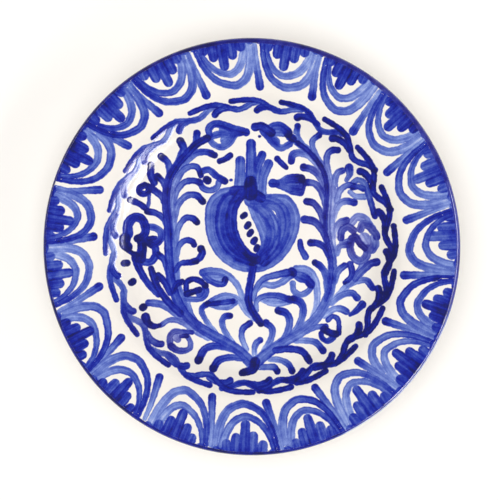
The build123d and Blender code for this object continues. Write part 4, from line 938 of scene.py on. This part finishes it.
GLASS_IOR = 1.5
RIPPLE_DEPTH = 0.00022  # in metres, as all lengths in materials are
CLAY_GRAIN_DEPTH = 0.0002
LIGHT_GLAZE = (0.86, 0.83, 0.788)
GREYER_GLAZE = (0.82, 0.785, 0.738)
IRON_SPECK = (0.19, 0.10, 0.05)


def glaze_finish(tree, shader, low, high):
    """What white and painted glaze share: a fired gloss that varies a little, and a faint ripple."""
    gloss = remap(tree, noise(tree, 60, 4), 0.35, 0.65, low, high)
    tree.links.new(gloss, shader.inputs["Roughness"])
    fine = math(tree, "MULTIPLY", noise(tree, 1100, 2), 0.12)
    bump(tree, shader, math(tree, "ADD", noise(tree, 170, 3), fine), RIPPLE_DEPTH, 0.5)
    shader.inputs["IOR"].default_value = GLASS_IOR


def white_colour(tree):
    """Tin glaze: warm white, a little greyer in patches, with rare iron specks."""
    patches = ramp(tree, noise(tree, 22, 5), [(0.3, GREYER_GLAZE), (0.7, LIGHT_GLAZE)])
    place = node(tree, "ShaderNodeTexCoord")
    cells = node(tree, "ShaderNodeTexVoronoi")
    cells.inputs["Scale"].default_value = 70
    cells.inputs["Randomness"].default_value = 1.0
    tree.links.new(place.outputs["Object"], cells.inputs["Vector"])
    speck = remap(tree, cells.outputs["Distance"], 0.02, 0.035, 1.0, 0.0)
    rare = remap(tree, noise(tree, 45, 0), 0.6, 0.62, 0.0, 1.0)
    return blend(tree, math(tree, "MULTIPLY", speck, rare), patches, IRON_SPECK)


def white_glaze(name):
    material, tree, shader = new_material(name)
    tree.links.new(white_colour(tree), shader.inputs["Base Color"])
    glaze_finish(tree, shader, 0.06, 0.15)
    return material


# Colour by load, from the faintest wash to the heaviest pool: blue cobalt, and a violet one for cobalt that
# fired violet and for the painted tint of reflections.
COBALT = [
    (0.00, (0.72, 0.745, 0.85)),
    (0.16, (0.44, 0.51, 0.77)),
    (0.34, (0.205, 0.285, 0.65)),
    (0.53, (0.088, 0.138, 0.485)),
    (0.71, (0.022, 0.046, 0.385)),
    (0.85, (0.006, 0.013, 0.30)),
    (1.00, (0.008, 0.010, 0.105)),
]
VIOLET_COBALT = [
    (0.00, (0.76, 0.73, 0.83)),
    (0.15, (0.50, 0.48, 0.72)),
    (0.32, (0.27, 0.26, 0.56)),
    (0.50, (0.140, 0.125, 0.38)),
    (0.68, (0.065, 0.052, 0.25)),
    (0.84, (0.030, 0.022, 0.16)),
    (1.00, (0.016, 0.012, 0.09)),
]


def cobalt_glaze(name):
    """Cobalt under the gloss: the mesh carries the load, and noise makes it grainy and cloudy."""
    material, tree, shader = new_material(name)
    cloudy = remap(tree, noise(tree, 170, 5, 0.6), 0.25, 0.75, -0.14, 0.14)
    grainy = remap(tree, noise(tree, 1400, 3, 0.7), 0.25, 0.75, -0.06, 0.06)
    load = math(tree, "ADD", carried(tree, "cobalt"), math(tree, "ADD", cloudy, grainy))
    patchy = remap(tree, noise(tree, 90, 3), 0.3, 0.7, 0.4, 1.0)
    violet = math(tree, "MULTIPLY", carried(tree, "violet"), patchy)
    paint = blend(tree, violet, ramp(tree, load, COBALT), ramp(tree, load, VIOLET_COBALT))
    bleeding = remap(tree, noise(tree, 900, 3, 0.6), 0.3, 0.7, -0.14, 0.14)
    edge = math(tree, "ADD", carried(tree, "paint_edge"), bleeding)
    cover = remap(tree, edge, -0.3, 0.2, 1.0, 0.0)
    colour = blend(tree, cover, white_colour(tree), paint)
    tree.links.new(colour, shader.inputs["Base Color"])
    glaze_finish(tree, shader, 0.07, 0.17)
    return material


def bare_clay(name):
    """Unglazed buff earthenware, sandy and a little stained."""
    material, tree, shader = new_material(name)
    colour = ramp(tree, noise(tree, 120, 6, 0.65), [
        (0.3, (0.42, 0.27, 0.17)), (0.5, (0.56, 0.38, 0.26)), (0.72, (0.66, 0.49, 0.36))
    ])
    tree.links.new(colour, shader.inputs["Base Color"])
    tree.links.new(remap(tree, noise(tree, 300, 4), 0.3, 0.7, 0.72, 0.92), shader.inputs["Roughness"])
    bump(tree, shader, noise(tree, 1500, 5, 0.7), CLAY_GRAIN_DEPTH, 0.7)
    return material


WHITE = white_glaze("white_tin_glaze")
WHITE_BACK = white_glaze("white_tin_glaze_back")
BLUE = cobalt_glaze("cobalt_painting")
BAND_BLUE = cobalt_glaze("cobalt_lip_band")
CLAY = bare_clay("bare_earthenware")

# --- The painted motifs ---
# Where the lip band's inner edge lies, by the angle round the plate: (degrees, radius).
BAND_INNER_EDGE = [
    (-180, 137.1), (-150, 136.5), (-125, 136.4), (-105, 136.3), (-94, 136.2), (-84, 136.4),
    (-70, 136.9), (-45, 137.4), (-20, 137.3), (0, 136.3), (15, 135.8), (45, 135.6), (80, 135.7),
    (105, 135.9), (122, 136.5), (135, 137.2), (160, 137.4), (180, 137.1),
]
BAND_EDGE_WAVES = ((7, 0.16, 0.5), (19, 0.12, 2.0), (43, 0.07, 4.1))
BAND_EDGE_LIMIT = 138.75  # so that the band is never narrower than it can be painted


def by_turn(knots, turn):
    """A value at these angles round the plate, from knots of an angle and a value."""
    angles, values = np.array(knots).T
    return np.interp(turn, angles, values)


def hand_waves(turn, waves):
    """The hand's waves at these angles, in radians: their number round the plate, size and phase."""
    return sum(size * np.sin(turn * number + phase) for number, size, phase in waves)


def band_edge(turn):
    """Radius of the band's inner edge at these angles, in degrees."""
    edge = by_turn(BAND_INNER_EDGE, turn) + hand_waves(np.radians(turn), BAND_EDGE_WAVES)
    return np.minimum(edge, BAND_EDGE_LIMIT)


# Where the painting turns violet, partly the cobalt's own tint and partly the painted tint of a reflection:
# middle and spread of each patch in mm, and how much.
VIOLET_AND_REFLECTION_SPOTS = [
    (72, 4, 12, 0.8), (50, 22, 12, 0.45), (46, 50, 12, 0.4), (-58, 34, 14, 0.25),
    (-52, -64, 9, 0.6), (-74, -52, 10, 0.4),
]
VIOLET_LIMIT = 0.9  # some blue is left everywhere
RELIEF = 0.11  # how proud of the glaze the middle of a stroke stands
SUNK = 0.03  # how far under the glaze its edge lies, so that no rim shows
EDGE_WIDTH = 1.4  # over which it rises from one to the other
UNDERSIDE = 0.15  # how far under the glaze a motif's underside lies
UNDER_BAND = 0.3  # how far the motifs reach under the lip band

paint_reach = band_edge(np.degrees(np.arctan2(GY, GX))) + UNDER_BAND
beyond = np.hypot(GX, GY) - paint_reach
fields = {name: lay_motif(strokes) for name, strokes in MOTIFS.items()}
painted = np.minimum.reduce(list(fields.values()))
relief = -SUNK + (RELIEF + SUNK) * smoothstep(HALO - painted, 0.0, EDGE_WIDTH)
layered = HEAVIEST + OVERLAP * (1 - CLEAR - HEAVIEST)
cobalt = np.maximum(layered, NEAREST_LOAD * smoothstep(painted, -0.6, 0))
violet = np.zeros(GX.shape)
for x, y, spread, amount in VIOLET_AND_REFLECTION_SPOTS:
    violet += amount * np.exp(-((GX - x) ** 2 + (GY - y) ** 2) / (2 * spread**2))
violet = np.minimum(violet, VIOLET_LIMIT)
carried_values = {"cobalt": cobalt, "paint_edge": painted, "violet": violet}
taken = np.full(GX.shape, FAR)
for name, field in fields.items():
    region = np.maximum(np.maximum(field - HALO, beyond), -taken)
    taken = np.minimum(taken, field - HALO)
    points, polygons, values, edge = outline_mesh(region, relief, UNDERSIDE, carried_values)
    piece = make_piece(name + "_painting", points, polygons, values, edge)
    dress(piece, BLUE, name)

# --- The lip band ---
# By the angle round the plate, in degrees: how violet the band fired, and its load of cobalt.
BAND_VIOLET = [
    (-180, 0.1), (-90, 0.0), (-30, 0.1), (15, 0.5), (45, 0.8), (100, 0.6), (125, 0.6), (160, 0.2),
    (180, 0.1),
]
BAND_LOAD = [
    (-180, 0.95), (-90, 0.92), (-30, 0.88), (10, 0.78), (60, 0.80), (100, 0.92), (140, 0.95), (180, 0.95),
]
BAND_LOAD_WAVES = ((9, 0.03), (23, 0.03), (61, 0.02))  # number round the plate, and size
BAND_END = -40.0  # angle on the lip where the band ends, in degrees
BAND_END_WAVES = ((5, 2.0), (13, 1.6), (31, 1.0))  # number round the plate, and degrees
BAND_RELIEF = 0.14  # how proud of the glaze the band stands, and over what width it rises
BAND_EDGE_WIDTH = 0.9
BAND_THICKNESS = 0.2  # from the top of the glaze down to the band's underside
BAND_POINTS = (22, 6)  # across the band, on top and underneath
# The stretch where the band is painted pale on its outer side, a painted highlight of the window's glare:
# where that starts and ends, in degrees.
GLARE_START = (-68, -60)
GLARE_END = (-26, -8)
GLARE_FADE = (38, 50)  # angles on the lip, in degrees, over which the painted highlight fades out
# how much paler the painted highlight leaves the band
PAINTED_GLARE = 0.86


def lip_band():
    """Points, faces and values of the lip band, a closed ring with hand-varied edges."""
    turn = np.linspace(-180, 180, AROUND, endpoint=False)
    inner = band_edge(turn)
    reach = LIP_RADIUS + GLAZE
    start = np.arccos(np.clip((inner - LIP_CENTRE_R) / reach, -0.3, 0.98)) + HALO / reach
    end = np.full(AROUND, radians(BAND_END))
    for number, size in BAND_END_WAVES:
        end += np.radians(size) * np.sin(np.radians(turn) * number + rng.uniform(0, 2 * pi))
    share = np.linspace(0, 1, BAND_POINTS[0])[:, None]
    angle = start[None] * (1 - share) + end[None] * share
    arc_length = (start - end)[None] * reach
    from_edge = np.minimum(share, 1 - share) * arc_length
    depth = GLAZE - SUNK + (BAND_RELIEF + SUNK) * smoothstep(from_edge, 0, BAND_EDGE_WIDTH)
    under_share = np.linspace(1, 0, BAND_POINTS[1] + 2)[1:-1][:, None]
    under_angle = start[None] * (1 - under_share) + end[None] * under_share
    angles = np.vstack([angle, under_angle])
    depths = np.vstack([depth, np.full(under_angle.shape, GLAZE - BAND_THICKNESS)])
    r = LIP_CENTRE_R + (LIP_RADIUS + depths) * np.cos(angles)
    z = LIP_CENTRE_Z + (LIP_RADIUS + depths) * np.sin(angles)
    x, y = r * np.cos(np.radians(turn)), r * np.sin(np.radians(turn))
    z = z + unevenness(x, y)
    load = by_turn(BAND_LOAD, turn) + np.zeros_like(r)
    for number, size in BAND_LOAD_WAVES:
        load += size * np.sin(np.radians(turn) * number + rng.uniform(0, 2 * pi) + angles * 1.5)
    # Painted highlight: the band's outer side is made paler where the window's glare falls.
    glare_stretch = smoothstep(turn, *GLARE_START) * (1 - smoothstep(turn, *GLARE_END))
    load *= 1 - PAINTED_GLARE * glare_stretch * (1 - smoothstep(np.degrees(angles), *GLARE_FADE))
    edge = np.vstack([HALO - from_edge, np.ones(under_angle.shape)])
    violet = by_turn(BAND_VIOLET, turn) + np.zeros_like(r)
    values = {
        "cobalt": np.clip(load, 0, 1).ravel(), "paint_edge": edge.ravel(), "violet": violet.ravel(),
    }
    return np.c_[x.ravel(), y.ravel(), z.ravel()], ring_faces(len(angles), AROUND, True), values


points, faces, values = lip_band()
piece = make_piece("lip_band_painting", points, [faces], values)
dress(piece, BAND_BLUE, "lip_band")

# --- Glaze coats and clay ---
INSET = 0.3  # how far the coats reach into the clay, so that no gap shows


def lip_run(start, end, start_depth, end_depth, count):
    """Points round the lip between two angles, at a depth that changes evenly."""
    angle = np.radians(np.linspace(start, end, count))
    depth = LIP_RADIUS + np.linspace(start_depth, end_depth, count)
    return np.c_[LIP_CENTRE_R + depth * np.cos(angle), LIP_CENTRE_Z + depth * np.sin(angle)]


profile = np.vstack([
    face_profile(GLAZE, 0.0),
    lip_run(-4, -40, GLAZE, GLAZE - 0.06, 10),  # down the lip's outer side, where it gets thinner
    lip_run(-46, -64, 0.25, -0.1, 4),  # the coat's edge, which dips into the clay
    lip_run(-60, 60, -INSET, -INSET, 10),  # and back up inside the clay
    face_profile(-INSET, pi / 2 + RIM_ANGLE)[::-6],
])
profile[-1] = (0.0, FLOOR_HEIGHT - INSET)
piece = turned_piece("face_glaze_coat", profile, on_face)
dress(piece, WHITE, "face_glaze")


BACK_RING = (0.05, 4.2)  # height and spacing of the turning marks on the back
RECESS_RING = (0.07, 5.2)  # and of the trimming marks in the foot's recess
# How uneven the back coat's and the recess coat's edges and the foot are: see hand_waves.
BACK_EDGE_WAVES = ((5, 0.28, 1), (13, 0.2, 2), (29, 0.12, 0))
RECESS_EDGE_WAVES = ((7, 0.2, 0), (17, 0.15, 1))
FOOT_WAVES = ((6, 0.06, 1), (15, 0.05, 0), (37, 0.03, 0))


def back_shape(x, y, z):
    """Turning marks on the back, and a glaze edge that stops unevenly above the foot.

    The marks fade out towards the foot ring and the lip.
    """
    radius, turn = np.hypot(x, y), np.arctan2(y, x)
    size, spacing = BACK_RING
    rings = size * np.sin(2 * pi * radius / spacing + 0.6 * np.sin(turn))
    rings *= smoothstep(radius, 70, 76) * (1 - smoothstep(radius, 128, 135))
    lift = rings + 0.6 * unevenness(x, y) * smoothstep(radius, 80, 130)
    near_foot = 1 - smoothstep(radius, 68.4, 69.0)
    low = near_foot * (1 - smoothstep(z, 1.9, 3.0))
    return x, y, z + lift * (1 - near_foot) + hand_waves(turn, BACK_EDGE_WAVES) * low


foot_r = FOOT_OUTER_RADIUS + BACK_GLAZE
under = BACK_HEIGHT - BACK_GLAZE
# From the back round into the foot ring's wall: mm out from the wall, and mm down from the back.
FOOT_FILLET = [(1.6, 0), (0.9, 0.1), (0.35, 0.4), (0.1, 0.8)]
# The coat's rounded lower edge: mm out from the wall, and the height.
LOWER_EDGE = [(0.02, 2.6), (0, 2.2), (-0.04, 1.95), (-0.2, 1.78), (-0.5, 1.75), (-0.6, 2.4)]
profile = np.vstack([
    lip_run(-18, -38, 0.1, 0.30, 6),  # the coat's edge, under the face's
    lip_run(-44, -76, BACK_GLAZE, BACK_GLAZE, 8)[:-1],
    back_profile(BACK_GLAZE)[:-1],
    [(foot_r + out, under - down) for out, down in FOOT_FILLET],
    [(foot_r + out, height) for out, height in LOWER_EDGE],
    [(foot_r - 0.6, BACK_HEIGHT + INSET)],
    back_profile(-INSET)[::-3],
    lip_run(-70, -20, -INSET, -INSET, 6),
])
piece = turned_piece("back_glaze_coat", profile, back_shape)
dress(piece, WHITE_BACK, "back_glaze")

# The recess coat's rounded outer edge: radius, and mm down from the coat.
RECESS_EDGE = [
    (58.4, 0.05), (59.1, 0.2), (59.55, 0.45), (59.8, 0.9), (60.0, 1.15), (60.3, 1.1),
]
inside = BACK_HEIGHT + INSET
profile = np.array([
    (0.0, inside), (30.0, inside), (60.4, inside),
    *((radius, under - down) for radius, down in reversed(RECESS_EDGE)),
    *((radius, under) for radius in np.linspace(57.5, 0, 44)),
])


def recess_shape(x, y, z):
    """A spiral of trimming marks under the plate."""
    radius, turn = np.hypot(x, y), np.arctan2(y, x)
    size, spacing = RECESS_RING
    marks = size * np.sin(2 * pi * radius / spacing - turn)
    marks *= smoothstep(radius, 2, 10) * (1 - smoothstep(radius, 52, 57))
    ragged = hand_waves(turn, RECESS_EDGE_WAVES) * smoothstep(radius, 59.3, 59.9)
    return x, y, z + (marks + ragged) * (z < BACK_HEIGHT)


piece = turned_piece("foot_recess_glaze_coat", profile, recess_shape)
dress(piece, WHITE_BACK, "foot_recess_glaze")

foot_out, foot_in = FOOT_OUTER_RADIUS, FOOT_INNER_RADIUS
profile = np.vstack([
    face_profile(0.0, radians(-76))[::2],
    back_profile(0.0)[::2],
    [(foot_out, BACK_HEIGHT), (foot_out, 3.0), (foot_out, 2.2)],
    arc((foot_out - FOOT_EDGE, FOOT_EDGE), FOOT_EDGE, 0, -pi / 2, 7),
    run((foot_out - FOOT_EDGE, 0), (foot_in + FOOT_EDGE, 0), 5)[1:],
    arc((foot_in + FOOT_EDGE, FOOT_EDGE), FOOT_EDGE, -pi / 2, -pi, 7),
    [(foot_in, 2.4), (foot_in, BACK_HEIGHT), (30.0, BACK_HEIGHT), (0.0, BACK_HEIGHT)],
])
profile[0] = (0.0, FLOOR_HEIGHT)


def clay_shape(x, y, z):
    """A foot ring wiped by hand: its standing edge isn't quite even."""
    turn = np.arctan2(y, x)
    low = 1 - smoothstep(z, 0.0, 2.0)
    return x, y, z + low * np.maximum(hand_waves(turn, FOOT_WAVES), 0)


piece = turned_piece("clay_body_and_foot", profile, clay_shape)
dress(piece, CLAY, "clay_body")

# --- Floor, light and camera ---
floor_mesh = bpy.data.meshes.new("floor")
floor_mesh.from_pydata([(-2, -2, 0), (2, -2, 0), (2, 2, 0), (-2, 2, 0)], [], [(0, 1, 2, 3)])
floor = bpy.data.objects.new("floor", floor_mesh)
floor.location.z = -0.0001  # a hair under the foot, so that the two never fight
bpy.context.scene.collection.objects.link(floor)
paper = bpy.data.materials.new("paper_floor")
paper.use_nodes = True
sheet = paper.node_tree.nodes["Principled BSDF"].inputs
sheet["Base Color"].default_value = (0.95, 0.94, 0.92, 1)
sheet["Roughness"].default_value = 0.95
sheet["Specular IOR Level"].default_value = 0.0
floor_mesh.materials.append(paper)


def soft_light(name, azimuth, elevation, distance, size, energy, colour, glossy=True, diffuse=True):
    """A softbox, size wide and high, that faces the plate from this direction (degrees)."""
    data = bpy.data.lights.new(name, "AREA")
    data.shape = "RECTANGLE"
    data.size, data.size_y = size
    data.energy = energy
    data.color = colour
    lamp = bpy.data.objects.new(name, data)
    a, e = radians(azimuth), radians(elevation)
    back = Vector((cos(a) * cos(e), sin(a) * cos(e), sin(e)))
    lamp.location = back * distance
    lamp.rotation_mode = "QUATERNION"
    lamp.rotation_quaternion = back.to_track_quat("Z", "Y")
    lamp.visible_glossy = glossy
    lamp.visible_diffuse = diffuse
    bpy.context.scene.collection.objects.link(lamp)


# Each light: azimuth, elevation, distance, size, power and colour.
# A low window at the right, whose reflection is a light of its own, and a wide soft light overhead
# that fills the shadows and never shows in the gloss.
soft_light("window", -24, 31, 1.6, (2.2, 0.28), 11, (1.0, 0.99, 0.98), glossy=False)
soft_light("window_glare", -24, 29.5, 1.6, (2.2, 0.32), 38, (1.0, 0.99, 0.98), diffuse=False)
soft_light("overhead", 170, 80, 2.2, (3.4, 3.4), 72, (1.0, 0.982, 0.96), glossy=False)

world = bpy.data.worlds.new("room")
world.use_nodes = True
sky = world.node_tree.nodes["Background"].inputs
sky["Color"].default_value = (1.0, 0.97, 0.94, 1)
sky["Strength"].default_value = 0.18
bpy.context.scene.world = world
bpy.context.scene.view_settings.view_transform = "Standard"

# The camera stands TILT off the plate's axis, in the direction TOWARDS.
DISTANCE = 1.1
AIM_HEIGHT = 0.030
TILT, TOWARDS = radians(5), radians(35)
camera_data = bpy.data.cameras.new("camera")
camera_data.lens = 118.8
camera_data.sensor_width = 36
camera_data.shift_y = -0.0042
camera = bpy.data.objects.new("camera", camera_data)
back = Vector((sin(TILT) * cos(TOWARDS), sin(TILT) * sin(TOWARDS), cos(TILT)))
side = Vector((0, 1, 0)).cross(back).normalized()
up = back.cross(side)
turned = Matrix((side, up, back)).transposed().to_4x4()
camera.matrix_world = Matrix.Translation(Vector((0, 0, AIM_HEIGHT)) + back * DISTANCE) @ turned
bpy.context.scene.collection.objects.link(camera)
bpy.context.scene.camera = camera
